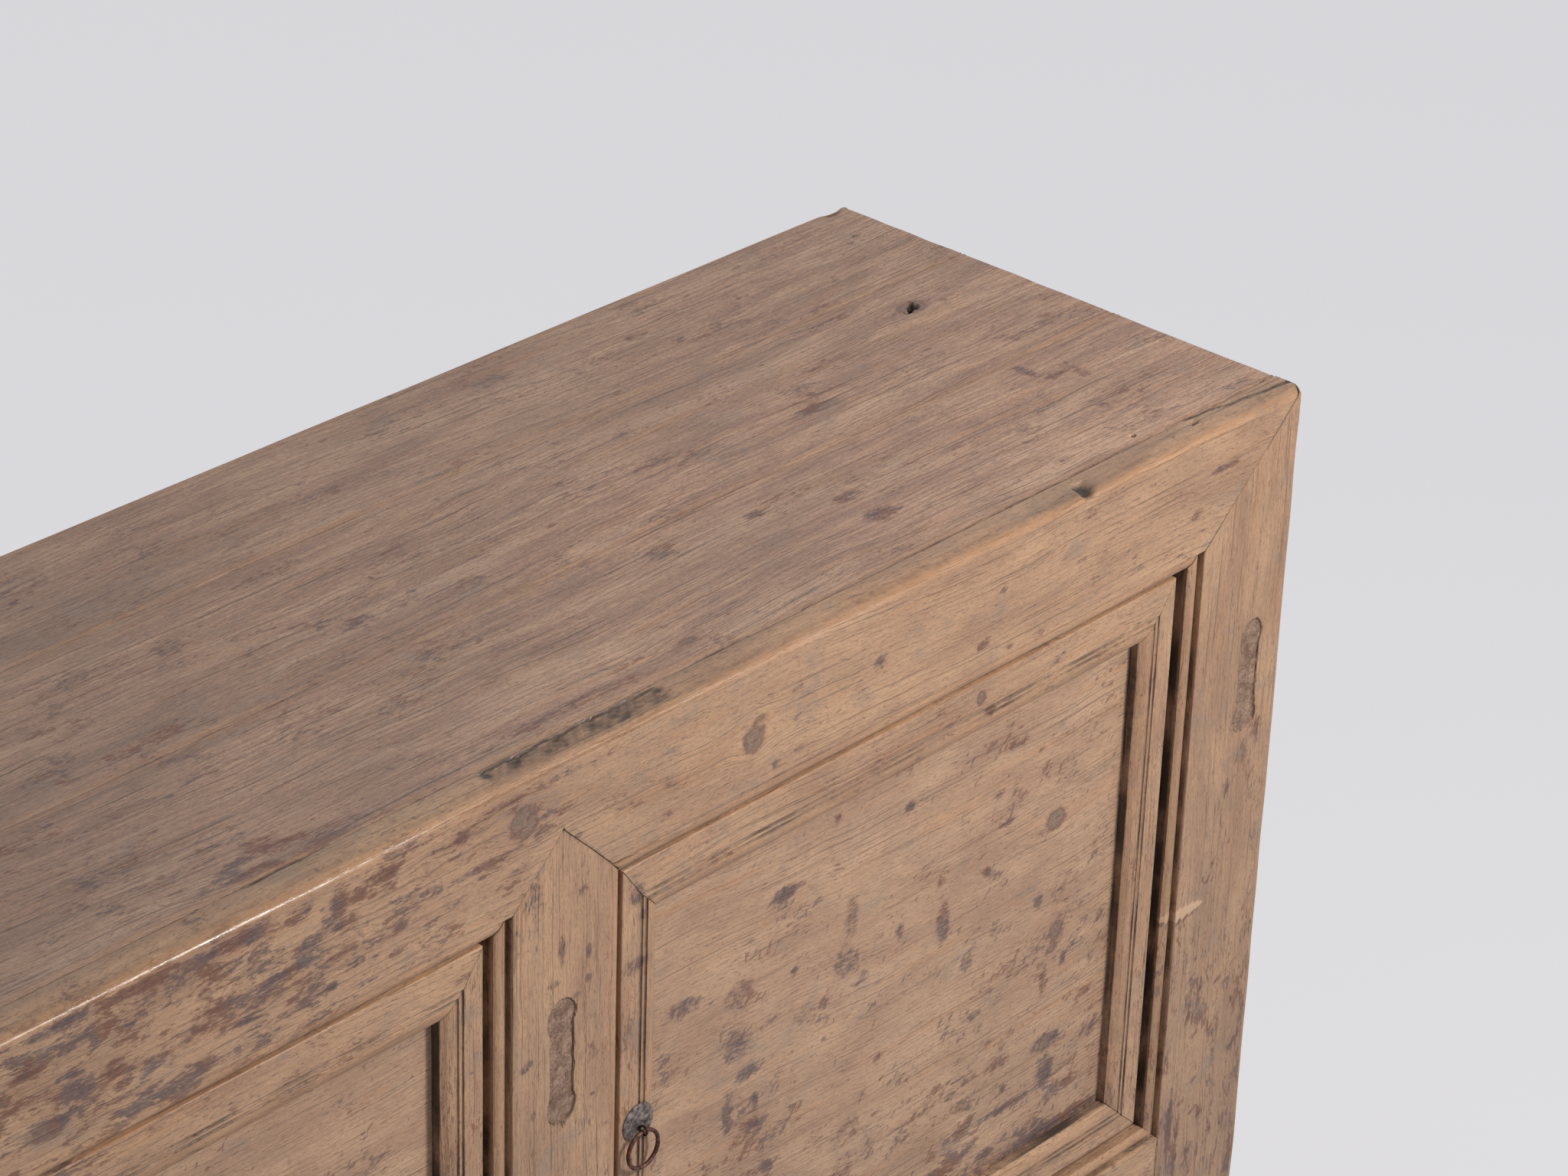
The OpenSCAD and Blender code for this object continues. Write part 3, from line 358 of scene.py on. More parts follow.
def elm(name, light, mid, dark, line, lacquer=1.0, ring_gap=4.5, haze=0.4, gloss=0.5, slant=-1.0, lines=1.0,
        patch=(260, 46)):
    """Old elm. Its colours are the pale early wood, the middle, the brown patches and the dark late wood.
    Point attributes, as timber makes them: grain is the way along the fibre, the radius of the ring and the
    way round it, in metres; blemish is knot, stain, scar, and how much lacquer is left in the pores; surface
    is wear, grime together with painted shade in gaps, quirks, grooves and recesses, polish, and how far the
    wood has gone grey, which on the top and the rail's strip is partly painted shade that darkens them away
    from the lamp. Patches of colour are patch millimetres long and wide, years ring_gap apart, and slant
    above -1 adds slanting strokes of lacquer"""
    stuff, t = new_material(name)
    grain = add(t, "Attribute", out="Vector", attribute_name="grain")
    blemish = add(t, "Attribute", out=None, attribute_name="blemish")
    surface = add(t, "Attribute", out=None, attribute_name="surface")
    place = add(t, "TexCoord", out="Object")
    knotty, stained, scarred = add(t, "SeparateColor", (blemish["Color"],), None)
    worn, dirt_and_shade_amount, polish = add(t, "SeparateColor", (surface["Color"],), None)

    # Each pattern is noise whose marks are so many millimetres long and wide, with its detail and roughness
    patterns = [
        ("patches", grain, *patch, 3, 0.55, 0.4), ("streaks", grain, 140, 3.8, 3, 0.62, 0),
        ("fibres", grain, 26, 0.9, 3, 0.65, 0), ("pores", grain, 7, 0.7, 1, 0.5, 0),
        ("grit", grain, 3.2, 1.1, 3, 0.75, 0), ("wander", grain, 220, 16, 2, 0.5, 0),
        ("fading", grain, 90, 9, 3, 0.6, 0), ("checks", grain, 130, 1.5, 2, 0.5, 0),
        ("warm", grain, 210, 9, 3, 0.6, 0), ("clouds", place, 60, 38, 3, 0.62, 0.6),
        ("hue", place, 34, 34, 2, 0.5, 0), ("torn", grain, 15, 1.9, 3, 0.7, 0),
        ("crumbs", place, 6, 6, 4, 0.7, 0), ("clusters", grain, 30, 11, 3, 0.6, 0.3),
        ("flecks", grain, 7.5, 1.9, 3, 0.62, 0.2), ("dots", grain, 3.4, 1.7, 2, 0.6, 0),
        ("film", grain, 18, 8, 4, 0.68, 0.6), ("smudge", place, 34, 24, 4, 0.62, 0.5),
        ("rubbing", grain, 60, 9, 3, 0.6, 0),
    ]
    if slant > -1:
        tilted = add(t, "Mapping", {"Vector": place, "Rotation": (0, math.radians(50), 0)})
        patterns.append(("strokes", tilted, 8, 3.4, 2, 0.56, 0.3))
    noise = {}
    for key, where, long, wide, detail, rough, warp in patterns:
        spread = add(t, "VectorMath", (where, (1000 / long, 1000 / wide, 1000 / wide)), operation="MULTIPLY")
        noise[key] = add(t, "TexNoise", {"Vector": spread, "Scale": 1.0, "Detail": detail,
                                         "Roughness": rough, "Distortion": warp})

    # Late wood stands in dark lines, one to each year's ring, and fades in and out along the plank
    wander = add(t, TIMES, (noise["wander"], ring_gap * 1.6 * MM))
    radius = add(t, PLUS, (add(t, "SeparateXYZ", (grain,), 1), wander))
    saw = add(t, "Math", (add(t, TIMES, (radius, 1000 / ring_gap)),), operation="FRACT")
    late = add(t, TIMES, (add(t, STEP, (saw, 0.52, 0.93)), add(t, STEP, (saw, 1.0, 0.95))))
    late = add(t, TIMES, (late, add(t, STEP, (noise["fading"], 0.36, 0.60))))
    checks = add(t, STEP, (noise["checks"], 0.63, 0.69))
    tone = add(t, PLUS, (add(t, TIMES, (noise["patches"], 1 - 0.45 * lines)),
                         add(t, TIMES, (noise["streaks"], 0.45 * lines))))
    colour = add(t, "ValToRGB", (tone,), stops=((0.38, dark), (0.50, mid), (0.62, light)))

    # Rests of dark lacquer sit in the pores as flecks, brown in places and blue-black in others. They gather
    # where blemish says, and a grey film lies round the thickest
    hue = add(t, STEP, (noise["hue"], 0.44, 0.56))
    rest = add(t, COAT, {0: hue, 6: "6A4032", 7: "4D434A"}, 2)
    deep_rest = add(t, COAT, {0: 0.25, 6: rest, 7: "4A3B40"}, 2)
    torn = add(t, TIMES, (add(t, PLUS, (noise["torn"], -0.5)), 0.9))
    crumbs = add(t, TIMES, (add(t, PLUS, (noise["crumbs"], -0.5)), 1.2))
    ragged = add(t, PLUS, (torn, crumbs))
    clusters = add(t, TIMES, (add(t, STEP, (noise["clusters"], 0.36, 0.64)), 1.45))
    gathered = add(t, TIMES, (add(t, TIMES, (blemish["Alpha"], lacquer)), add(t, PLUS, (clusters, 0.18))))
    left = add(t, PLUS, (gathered, add(t, TIMES, (add(t, STEP, (stained, 0.0, 1.0)), 0.55))))
    if slant > -1:
        strokes = add(t, PLUS, (noise["strokes"], slant))
        noise["flecks"] = add(t, "Math", (noise["flecks"], strokes), operation="MAXIMUM")

    # Fields whose edges are broken up, each by its share of another field
    edged = {}
    for key, value, field, share in (
        ("flecks", noise["flecks"], left, 0.26), ("dots", noise["dots"], left, 0.18),
        ("film", noise["film"], left, 0.34), ("smear", stained, ragged, 1.2), ("stain", stained, ragged, 2.3),
        ("smudge", noise["smudge"], add(t, PLUS, (noise["streaks"], -0.5)), 0.35),
        ("knot", knotty, ragged, 0.80), ("scar", scarred, ragged, 0.5), ("dirt_and_shade", dirt_and_shade_amount, ragged, 0.40),
    ):
        edged[key] = add(t, PLUS, (value, add(t, TIMES, (field, share))))
    flecks = add(t, STEP, (edged["flecks"], 0.69, 0.80))
    stain_share = add(t, PLUS, (add(t, TIMES, (add(t, STEP, (noise["grit"], 0.38, 0.60)), 0.42)), 0.34))
    dash_share = add(t, PLUS, (add(t, TIMES, (late, 0.35)), 0.30))
    dashes = add(t, TIMES, (add(t, STEP, (noise["pores"], 0.60, 0.70)), dash_share))

    # A knot has a purple-brown rim and a mottled grey heart; arrises are rubbed; quirks, grooves, gaps and
    # recess walls are painted near black, partly grime and partly painted shade
    knot = edged["knot"]
    folded = add(t, "Math", (knot, 0.10), operation="PINGPONG")
    knot_share = add(t, PLUS, (add(t, TIMES, (add(t, STEP, (folded, 0.02, 0.08)), 0.36)), 0.42))
    heart = add(t, COAT, {0: add(t, STEP, (knot, 0.80, 1.0)), 6: "553A36", 7: "665A52"}, 2)
    rubbed = add(t, TIMES, (worn, add(t, STEP, (noise["rubbing"], 0.26, 0.46))))
    dirt_and_shade = add(t, STEP, (edged["dirt_and_shade"], 0.12, 0.95))
    black = add(t, COAT, {0: dirt_and_shade, 6: "5F4C41", 7: "2A2422"}, 2)

    # Coats of colour, each over the last: where, from nothing at low to all at high, its share, its colour
    for value, low, high, share, coat in (
        (noise["warm"], 0.55, 0.70, 0.40, "B4845F"), (late, 0, 0, 0.36 * lines, line),
        (noise["fibres"], 0.49, 0.64, 0.52 * lines, line), (noise["fibres"], 0.46, 0.32, 0.34, light),
        (noise["grit"], 0.51, 0.64, 0.40, line), (noise["grit"], 0.47, 0.35, 0.32, light),
        (noise["clouds"], 0.50, 0.66, 0.18, "8E7A66"), (checks, 0, 0, 0.72 * lines, "54423A"),
        # The grey coat here is weathering, and on the top and the rail's strip also painted shade away from
        # the lamp; the last coat is grime together with painted shade in gaps, quirks, grooves and recesses
        (surface["Alpha"], 0, 0, 0.34, "6C5F56"), (edged["film"], 0.66, 0.92, 0.36, "765A4F"),
        (edged["dots"], 0.69, 0.78, 0.50, "6E4F3D"), (flecks, 0, 0, 0.62, rest),
        (edged["smear"], 0.05, 0.95, 0.24, "7E5D52"), (edged["stain"], 0.42, 1.10, stain_share, deep_rest),
        (dashes, 0, 0, 1, "5A443A"), (edged["smudge"], 0.55, 0.72, haze, "7C736D"),
        (knot, 0.25, 0.60, 0.40, "8B6B5B"), (knot, 0.56, 0.80, knot_share, heart),
        (edged["scar"], 0.45, 0.70, 0.8, "CBAA8C"), (rubbed, 0, 0, 0.52, "A87B55"), (dirt_and_shade, 0, 0, 0.92, black),
    ):
        if high:
            value = add(t, STEP, (value, low, high))
        if share != 1:
            value = add(t, TIMES, (value, share))
        colour = add(t, COAT, {0: value, 6: colour, 7: coat}, 2)

    height = add(t, TIMES, (noise["streaks"], 0.45))
    for field, share in ((noise["fibres"], 0.55), (late, 0.30), (add(t, PLUS, (dashes, checks)), -0.6),
                         (add(t, PLUS, (knot, flecks)), -0.15)):
        height = add(t, PLUS, (height, add(t, TIMES, (field, share))))
    height = add(t, TIMES, (height, add(t, PLUS, (add(t, TIMES, (polish, -0.85)), 1.0))))
    dull = add(t, PLUS, (noise["streaks"], add(t, TIMES, (polish, -0.9))))
    shader = add(t, "BsdfPrincipled", {
        "Base Color": colour, "IOR": 1.48, "Specular IOR Level": 0.40,
        "Roughness": add(t, "MapRange", (dull, -0.4, 0.8, gloss - 0.30, gloss + 0.08)),
        "Normal": add(t, "Bump", {"Height": height, "Strength": 0.75, "Distance": 0.0009}),
    })
    add(t, "OutputMaterial", {"Surface": shader})
    return stuff


# Each slot's wood, and the channels of the attribute blemish
KNOT, STAIN, SCAR, REST = 0, 1, 2, 3
woods = {"elm_top": elm("scrubbed_elm_top", "C8A58C", "B4907A", "997969", "6C4C40", 0.9, 4.2, 0.28, 0.52,
                        -1, 0.95, (130, 22))}


def timber(name, body, slot, rows, place, seed, pith, slope, wave, wear, blemishes=(), dents=(), shape=None,
           hollow=None, age_and_shade=None):
    """Wooden piece from rows of along, across, deep, wear, dirt, which place sets in the cabinet.
    The rings' radius is the distance from a pith line, at pith across and below the face, that drifts by
    slope along the piece; near a knot the lines part. The surface sinks by wave all over, by wear on its
    arrises, by each dent (place, reach along, reach across, depth), and by the hollow, which also adds dirt.
    The function aged gives the lacquer left, the polish, the greyness and the bare wood at each place; on the
    top and the rail's strip the greyness is partly painted shade for the lamp's falloff.
    Waves, wear, blemishes and dents are in millimetres"""
    origin, along, across, deep = (np.array(v, float) for v in place)
    points, faces = closed_tube(rows)
    places = origin + points[:, :1] * along + points[:, 1:2] * across + points[:, 2:3] * deep
    points, places, faces = welded(points, places, faces)
    if shape is not None:
        places = shape(places)
    normal = normals_of(places, faces)
    s, p, q = points[:, 0], points[:, 1].copy(), points[:, 2]

    def reaches(centre, long, wide):
        """Distances from a centre along and square to the piece, in units of long and wide millimetres"""
        gap = places - centre
        square = np.linalg.norm(gap - np.outer(gap @ along, along), axis=1)
        return (gap @ along) / (long * MM), square / (wide * MM)

    spots = np.zeros((len(places), 4))
    for centre, long, wide, kind, strength in blemishes:
        centre = centre - deep * ((centre - origin) @ deep)
        u, v = reaches(centre, long, wide)
        far = np.sqrt(u**2 + v**2)
        spots[:, kind] = np.maximum(spots[:, kind], strength * np.clip(1.75 - far, 0, 1))
        if kind == KNOT:
            middle = (centre - origin) @ across
            p += (middle - p) * 0.8 * np.exp(-((u / 1.9) ** 2 + (v / 1.5) ** 2))
            q = q + 0.4 * (wide * MM) * np.exp(-far**2)
    drift = slope * s + 0.004 * ripple(np.column_stack([s, s * 0, s * 0]), 0.5, seed)
    drift += 0.5 * MM * ripple(places, 0.045, seed + 7) + 1.5 * MM * ripple(places, 0.16, seed + 8)
    a, b = p - pith[0] + drift, q + pith[1]
    grain = np.column_stack([s + seed * 1.37, np.hypot(a, b) + seed * 0.071, pith[1] * np.arctan2(a, b)])
    worn = points[:, 3]
    dirt_and_shade_amount = points[:, 4] * np.clip(0.85 + 0.40 * ripple(places, 0.05, seed + 6), 0.2, 1.1)
    rests, polish, grey, bare = age_and_shade(places) if age_and_shade else (0.35, 0.3, 0.0, 0.0)
    rests = rests + 0.12 * ripple(places, 0.12, seed + 3) + 0.12 * ripple(places, 0.035, seed + 4)
    spots[:, SCAR] = np.maximum(spots[:, SCAR], bare)
    spots[:, REST] = np.clip(rests, 0, 1)
    sink = wave * MM * (0.5 + 0.5 * ripple(places * (1 - 0.75 * abs(along)), 0.045, seed + 1))
    sink += wear * MM * worn * np.clip(0.3 + 0.5 * ripple(places, 0.11, seed + 2), 0, 1.2)
    for centre, long, wide, depth in dents:
        u, v = reaches(centre, long, wide)
        dent = np.exp(-(u**2 + v**2) ** (4 if depth > 4 else 2))
        sink += depth * MM * dent
        # Dents deeper than 1.4 mm are painted dark by their depth, black past 4 mm: grime and painted shade
        # inside holes and notches
        dirt_and_shade_amount = np.maximum(dirt_and_shade_amount, (1.0 if depth > 4 else 0.65 if depth > 1.4 else 0) * dent)
    if hollow is not None:
        fall, grime = hollow(places, normal)
        sink += fall
        dirt_and_shade_amount = np.maximum(dirt_and_shade_amount, grime)
    surface = np.column_stack([worn, np.clip(dirt_and_shade_amount, 0, 1), worn * polish, grey + 0 * worn])
    mesh_piece(name, body, slot, woods[slot], places - normal * sink[:, None], faces,
               grain=grain, blemish=spots, surface=surface)


def at(x, y=0, z=0):
    """Place so many millimetres right of, behind and above the top's front right corner"""
    return np.array((top_x + x * MM, top_y + y * MM, top_z + z * MM))


def on_top(x, y, long, wide, kind, strength=1.0):
    """Blemish of the top, with its reach along the grain and across it"""
    return at(x, y), long, wide, kind, strength


def marked(place, stains=(), knots=(), scars=()):
    """Blemishes that the real cabinet has: rows of two places, reach along and across, and strength"""
    kinds = ((STAIN, stains), (KNOT, knots), (SCAR, scars))
    return [place(*row[:4], kind, *row[4:]) for kind, rows in kinds for row in rows]


def strewn(place, seed, count, x0, x1, z0, z1, long, wide):
    """Small random blemishes for a stretch of the top or the front, always the same for one seed"""
    kinds = (KNOT, STAIN, STAIN)
    rng = np.random.default_rng(seed)
    return [
        place(rng.uniform(x0, x1), rng.uniform(z0, z1), rng.uniform(0.4, 1) * long,
              rng.uniform(0.4, 1) * wide, kinds[i % len(kinds)], rng.uniform(0.65, 1))
        for i in range(count)
    ]


def top_wear_and_falloff_shade(places):
    """The top has little lacquer left, and is greyer away from its right end and towards the wall; the
    greying to the left is partly painted shade that stands for the lamp's falloff
    """
    x, y = places[:, 0], places[:, 1]
    # Greyness that rises to the left: partly weathering, partly painted shade for the lamp's falloff
    grey = np.clip((0.86 - x) / 0.85 + 0.25 * ripple(places * (0.3, 1, 0), 0.10, 61), 0, 1.4)
    grey = grey * 0.95 + 0.30 * ramp(y, 0, 0.2)
    rests = 0.30 + 0.26 * ripple(places * (0.6, 1, 0), 0.07, 62) + 0.12 * ramp(x, 0.5, -0.5)
    return rests, 0.2, grey, 0.0


seam_y = [*[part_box(f"top_{word}_plank")[0].y for word in ("front", "middle", "back")], cad_high.y]
strip = seam_y[0] - top_y
gouge_ends = (-732, -580)
gouge_deep = 1.6 * MM
gouge_back = 20.5
slump_deep = 2.4 * MM
crack_ends = (-104, 30)
crack_deep = 0.7 * MM
gash_ends = (-905, -845)
gash_deep = 1.2 * MM
soot_spots = ((-724, 16, 5.5), (-626, 14, 4.0), (-672, 12, 2.5), (-588, 17, 5.0))
gouge_fine = (top_x - 660 * MM, 80 * MM, 2.4 * MM)


def seam_grime(places, normal):
    """The seam before the planks: a black crack runs forward from it at the right end, and a broken and
    filled gouge lies in front of it further left. Each is a smooth curve of the distance from its own line;
    x and y are millimetres right of and behind the top's front right corner"""
    def hump(gap, reach, power=2):
        """1 where there is no gap, and a bell's fall to nothing past reach"""
        return np.exp(-((gap / reach) ** power))

    x, y = (places[:, 0] - top_x) / MM, (places[:, 1] - top_y) / MM
    y = y + 0.9 * ripple(places * (1, 0, 0), 0.03, 63)
    upper = np.clip((places[:, 2] - top_z) / MM + 3, 0, 1)
    crumbs = np.clip(0.5 + 0.35 * ripple(places, 0.016, 64) + 0.35 * ripple(places, 0.006, 66), 0, 1)
    back = gouge_back + 1.4 * ripple(places * (1, 0, 0), 0.04, 65)
    seam = strip / MM
    right = window(x, *crack_ends, 9)
    crack = y - (seam - 0.125 * np.clip(x + 96, 0, 100))
    near = hump(crack, 1.3 + 1.0 * ramp(x, -60, 60), 4)
    gouge = window(x, *gouge_ends, 9)
    lip = 4.5 + 4.0 * ramp(x, -640, -60)
    slump = slump_deep * np.exp(-(((x + 655) / 85) ** 2) - (np.clip(y, 0, 99) / 9) ** 2)
    slump *= normal[:, 2] > 0.15
    broken = gouge * window(y, lip, back + 1, 1.2)
    fall = gouge_deep * broken * ramp(y, 4, 9) * (0.4 + 0.8 * crumbs) + crack_deep * right * near
    gash = window(x, *gash_ends, 12) * hump(y - seam, 2.2)
    grime = [
        0.85 * right * near, 0.34 * right * hump(crack, 7), 0.95 * gouge * hump(y - back, 1.3),
        # 0.45 * hump(y - 7.0, 5) darkens a band about 7 mm behind the front edge along the whole strip
        gouge * window(y, lip + 1, 21, 2.5) * (0.38 + 0.42 * crumbs), 0.45 * hump(y - 7.0, 5),
        0.55 * gouge * crumbs * hump(y - lip, 1.3), 0.6 * gash,
        (0.24 + 0.36 * ramp(x, -610, 60)) * hump(y - seam, 1.4),
    ]
    for spot_x, spot_y, reach in soot_spots:
        far = np.hypot((x - spot_x) / reach, (y - spot_y) / (0.8 * reach))
        grime.append(0.95 * np.exp(-(far**2)))
    return (fall + gash_deep * gash) * upper * (normal[:, 2] > 0.4) + slump, np.max(grime, 0) * upper


knot_hole = at(-92, 259)
small_hole = at(-137, 33)
# Each plank's blemishes, its dents, and where its points lie closer along it and across it
plank_facts = {
    "top_front_plank": (
        marked(on_top, stains=(
            (-114, 141, 4, 9), (-88, 118, 4, 9), (-103, 124, 14, 3, 0.9), (-115, 76, 4, 9, 0.7),
            (-331, 103, 10, 5), (-333, 73, 12, 6), (-389, 127, 8, 3.5, 0.8), (-856, 42, 9, 5, 0.9),
            (-640, 38, 60, 4, 0.6), (-880, 31, 14, 3), (-838, 27, 16, 2.6, 0.8),
        ), knots=(
            (-535, 45, 10, 4, 0.8), (-195, 42, 8, 4, 0.6), (-1260, 90, 12, 5, 0.8), (-1700, 60, 10, 5, 0.8),
        ), scars=((-100, 134, 12, 6, 0.5),)) + strewn(on_top, 41, 44, -1960, -20, 34, 150, 4.4, 1.7),
        [(small_hole, 2.2, 2.0, 4.2)],
        [(small_hole[0], 5 * MM, 1.0 * MM), gouge_fine], [(small_hole[1], 4 * MM, 0.8 * MM)],
    ),
    "top_middle_plank": (
        marked(on_top, stains=((-260, 200, 8, 4, 0.8), (-653, 277, 26, 6, 0.6)),
               knots=((-92, 259, 11, 7), (-1430, 230, 11, 5, 0.8)))
        + strewn(on_top, 42, 50, -1960, -20, 160, 280, 4.4, 1.7),
        [(knot_hole, 5.2, 4.2, 9), (knot_hole - (8 * MM, 3.5 * MM, 0), 4, 2.4, 4.2),
         (knot_hole + (3 * MM, 4.5 * MM, 0), 2.6, 2.6, 4.2)],
        [(knot_hole[0], 18 * MM, 0.9 * MM)], [(knot_hole[1], 12 * MM, 0.8 * MM)],
    ),
    "top_back_plank": (
        marked(on_top, stains=((-260, 355, 10, 4, 0.8), (-560, 330, 16, 5, 0.6)),
               knots=((-1130, 350, 11, 5, 0.8),))
        + strewn(on_top, 43, 44, -1960, -20, 296, 395, 5, 1.7),
        [((top_x - 15 * MM, cad_high.y, top_z - 3 * MM), 9, 6, 2.4)], [], [],
    ),
}
plank_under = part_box("top_back_plank")[0].z
plank_depth = top_z - plank_under
seam_ease = 0.6 * MM
seam_rub = 5 * MM
for number, (name, (blemishes, dents, fine_x, fine_y)) in enumerate(plank_facts.items()):
    y0, y1 = seam_y[number], seam_y[number + 1]
    inner = number < 2
    fine_y = [(middle - y0 - seam_rub, reach, close) for middle, reach, close in fine_y]
    section = np.vstack([
        arc((y0 + seam_ease, seam_ease), seam_ease, -90, 0, 4, 0.2, 0.42 if number else 0.3),
        sides((y0 + seam_ease, 0), (y0 + seam_rub, 0, 1.3, 0.45, 0.05),
              (y1 - seam_rub, 0, 2.4, 0, 0, fine_y), (y1 - seam_ease, 0, 1.3, 0.3, 0.05 * inner)),
        arc((y1 - seam_ease, seam_ease), seam_ease, 0, 90, 4, 0.2, 0.42 * inner),
        sides((y1, seam_ease), (y1, plank_depth, 6), (y0, plank_depth, 12), (y0, seam_ease, 6)),
    ])
    timber(name, "carcass", "elm_top", member(section, -top_x, top_x, 3.6, fine_x, ease=1.5, black=0),
           ((0, 0, top_z), RIGHT, BACK, -UP), 3 + number, (0.55 + 0.1 * number, 0.10), 0.010, 0.35, 0.6,
           blemishes, dents, age_and_shade=top_wear_and_falloff_shade, hollow=None if number else seam_grime)


# Front top rail. One heavy rail of elm with a bead along each door opening, notched where the pointed
# shoulders of the stiles come up, and mitred to the legs; its top edge is worn round and shines.

woods["elm_frame"] = elm("weathered_elm_frame", "BC9879", "AF8C71", "A07E66", "86644E", 1.0, 4.6, 0.34,
                         0.50, -1, 0.5, (110, 30))
leg_low, leg_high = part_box("front_right_leg")
rail_low, rail_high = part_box("front_top_rail")
leg_w = leg_high.x - leg_low.x
rail_h = top_z - rail_low.z
rail_d = rail_high.y - rail_low.y
bead = 10 * MM
bead_back = 3.5 * MM
bead_round = 7 * MM
edge_deep = 12 * MM
edge_fall = 5 * MM
quirk = math.degrees(math.asin(bead / 2 / bead_round))
bead_edge = bead_back + bead_round * (1 - math.cos(math.radians(quirk)))
arris = 0.8 * MM
stile_half = 50 * MM
stile_x = abs(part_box("left_front_stile")[0].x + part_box("left_front_stile")[1].x) / 2
skin = 14 * MM
slit = 0.01 * MM


def beaded_face(width, step, fine=()):
    """Front of a member from its opening: a sunk bead, the quirk beside it, and the flat up to width"""
    return np.vstack([
        arc((bead / 2, bead_back + bead_round), bead_round, -quirk, quirk, 9, 0.35, 0.0),
        # The quirk's wall is darkened: grime and painted shade in the crease
        side((bead, bead_edge), (bead, arris), 1.6, 0, 0.66),
        arc((bead + arris, arris), arris, -90, 0, 3, 0.5, 0.1),
        side((bead + arris, 0), (width, 0), step, 0, 0, [(m - bead - arris, r, c) for m, r, c in fine]),
    ])


def worn_edge(width, count):
    """Worn top edge up to width: a quarter of an ellipse, tight in front and nearly flat on top"""
    a = np.linspace(0, np.pi / 2, count, endpoint=False)
    front = ramp(a, math.radians(70), -math.radians(28))
    return np.column_stack([width - edge_fall + edge_fall * np.sin(a), edge_deep * (1 - np.cos(a)),
                            front * (0.45 + 0.55 * np.sin(a * 2) ** 0.5), 0.30 * np.sin(a) ** 2])


def notched(section, start, stop, step, fine=()):
    """Rows of a rail whose face is notched in a V at each stile: the notch is half the stile wide on each
    side at the opening and closes that far up, and it is sunk to the skin's depth"""
    width = np.clip(stile_half - section[:, 0], 0, None)
    front = (width > 0) & (section[:, 1] < skin)
    eased = 0.5 * MM
    ease = eased * (width > 0)
    sunk, small = section.copy(), section.copy()
    sunk[:, 1] = np.where(front, skin, sunk[:, 1])
    small[:, 1] += np.where(front, eased, 0)
    faint = front * (0.25 + 0.65 * width / stile_half)
    marks = []
    for x in (-stile_x, stile_x):
        marks += [mark(x - width - 8 * ease, section), mark(x - width - ease, section, 0.5 * faint),
                  mark(x - width, small, faint), mark(x - width, sunk, front),
                  mark(x + width, sunk, front), mark(x + width, small, front),
                  mark(x + width + ease, section, 0.6 * front), mark(x + width + 8 * ease, section)]
    return member(section, start, stop, step, fine, marks)


def on_front(x, z, long, wide, kind, strength=1.0):
    """Blemish of the front, with its reach along the grain and across it"""
    return at(x, 0, z), long, wide, kind, strength


section = np.vstack([
    beaded_face(rail_h - edge_fall, 2.4),
    worn_edge(rail_h, 20),
    sides((rail_h, edge_deep), (rail_h, strip - 5 * MM, 1.5, 0.0, 0.05),
          (rail_h, strip - 1 * MM, 1.0, 0.0, 0.10),
          (rail_h - 1 * MM, strip, 1, 0, 0.5), (rail_h - plank_depth, strip, 6, 0, 1),
          # The underside over the doors is darkened as painted shade in the gap
          (rail_h - plank_depth, rail_d, 8), (0, rail_d, 8), (0, bead_edge, 4, 0, 0.3)),
])


def mitre_of(section, own, other):
    """Way along a mitre: level over the bead, then from the bead's edge to the corner of both faces"""
    past = section[:, 0] - bead
    return np.where(section[:, 0] < bead, section[:, 0], bead + past * (other - bead) / (own - bead))


rail_blemishes = marked(on_front, stains=(
    (-504, -77, 3, 3), (-593, -53, 6, 3, 0.7), (-596, -73, 5, 3, 0.7), (-413, -44, 5, 4), (-317, -70, 5, 3),
    (-106, -56, 5, 3), (-79, -31, 14, 2.4), (-217, -16, 8, 4, 0.6), (-742, -44, 24, 2.2),
    (-886, -47, 20, 2.2), (-1062, -27, 8, 4), (-1006, -50, 6, 4.5), (-1028, -51, 18, 5, 0.7),
    (-951, -52, 9, 5, 0.7), (-936, -47, 12, 2.4), (-872, -39, 10, 6, 0.9), (-877, -14, 9, 4, 0.8),
    (-851, -22, 4.5, 6), (-819, -17, 13, 3), (-834, -21, 4, 3), (-805, -55, 4, 3), (-760, -18, 5, 3),
    (-807, -70, 6, 2.4), (-985, -10, 26, 3, 0.9), (-1040, -9, 22, 3.5), (-925, -12, 20, 3),
    (-1048, -67, 14, 5, 0.8), (-946, -78, 8, 4, 0.7), (-640, -12, 30, 2.6, 0.5), (-700, -11, 40, 2.6, 0.7),
), knots=(
    (-711, -29, 11, 10), (-711, -56, 5, 4, 0.6), (-524, -52, 9, 9), (-907, -56, 4, 3), (-784, -27, 5, 5, 0.6),
    (-1300, -40, 14, 10), (-1620, -55, 12, 9),
)) + strewn(on_front, 11, 34, -1960, -130, -88, -16, 8, 3) \
   + strewn(on_front, 15, 26, -1060, -620, -86, -8, 7, 2.6)
notch = at(-217, 3, -2)
strip_hole = at(-95, 18)


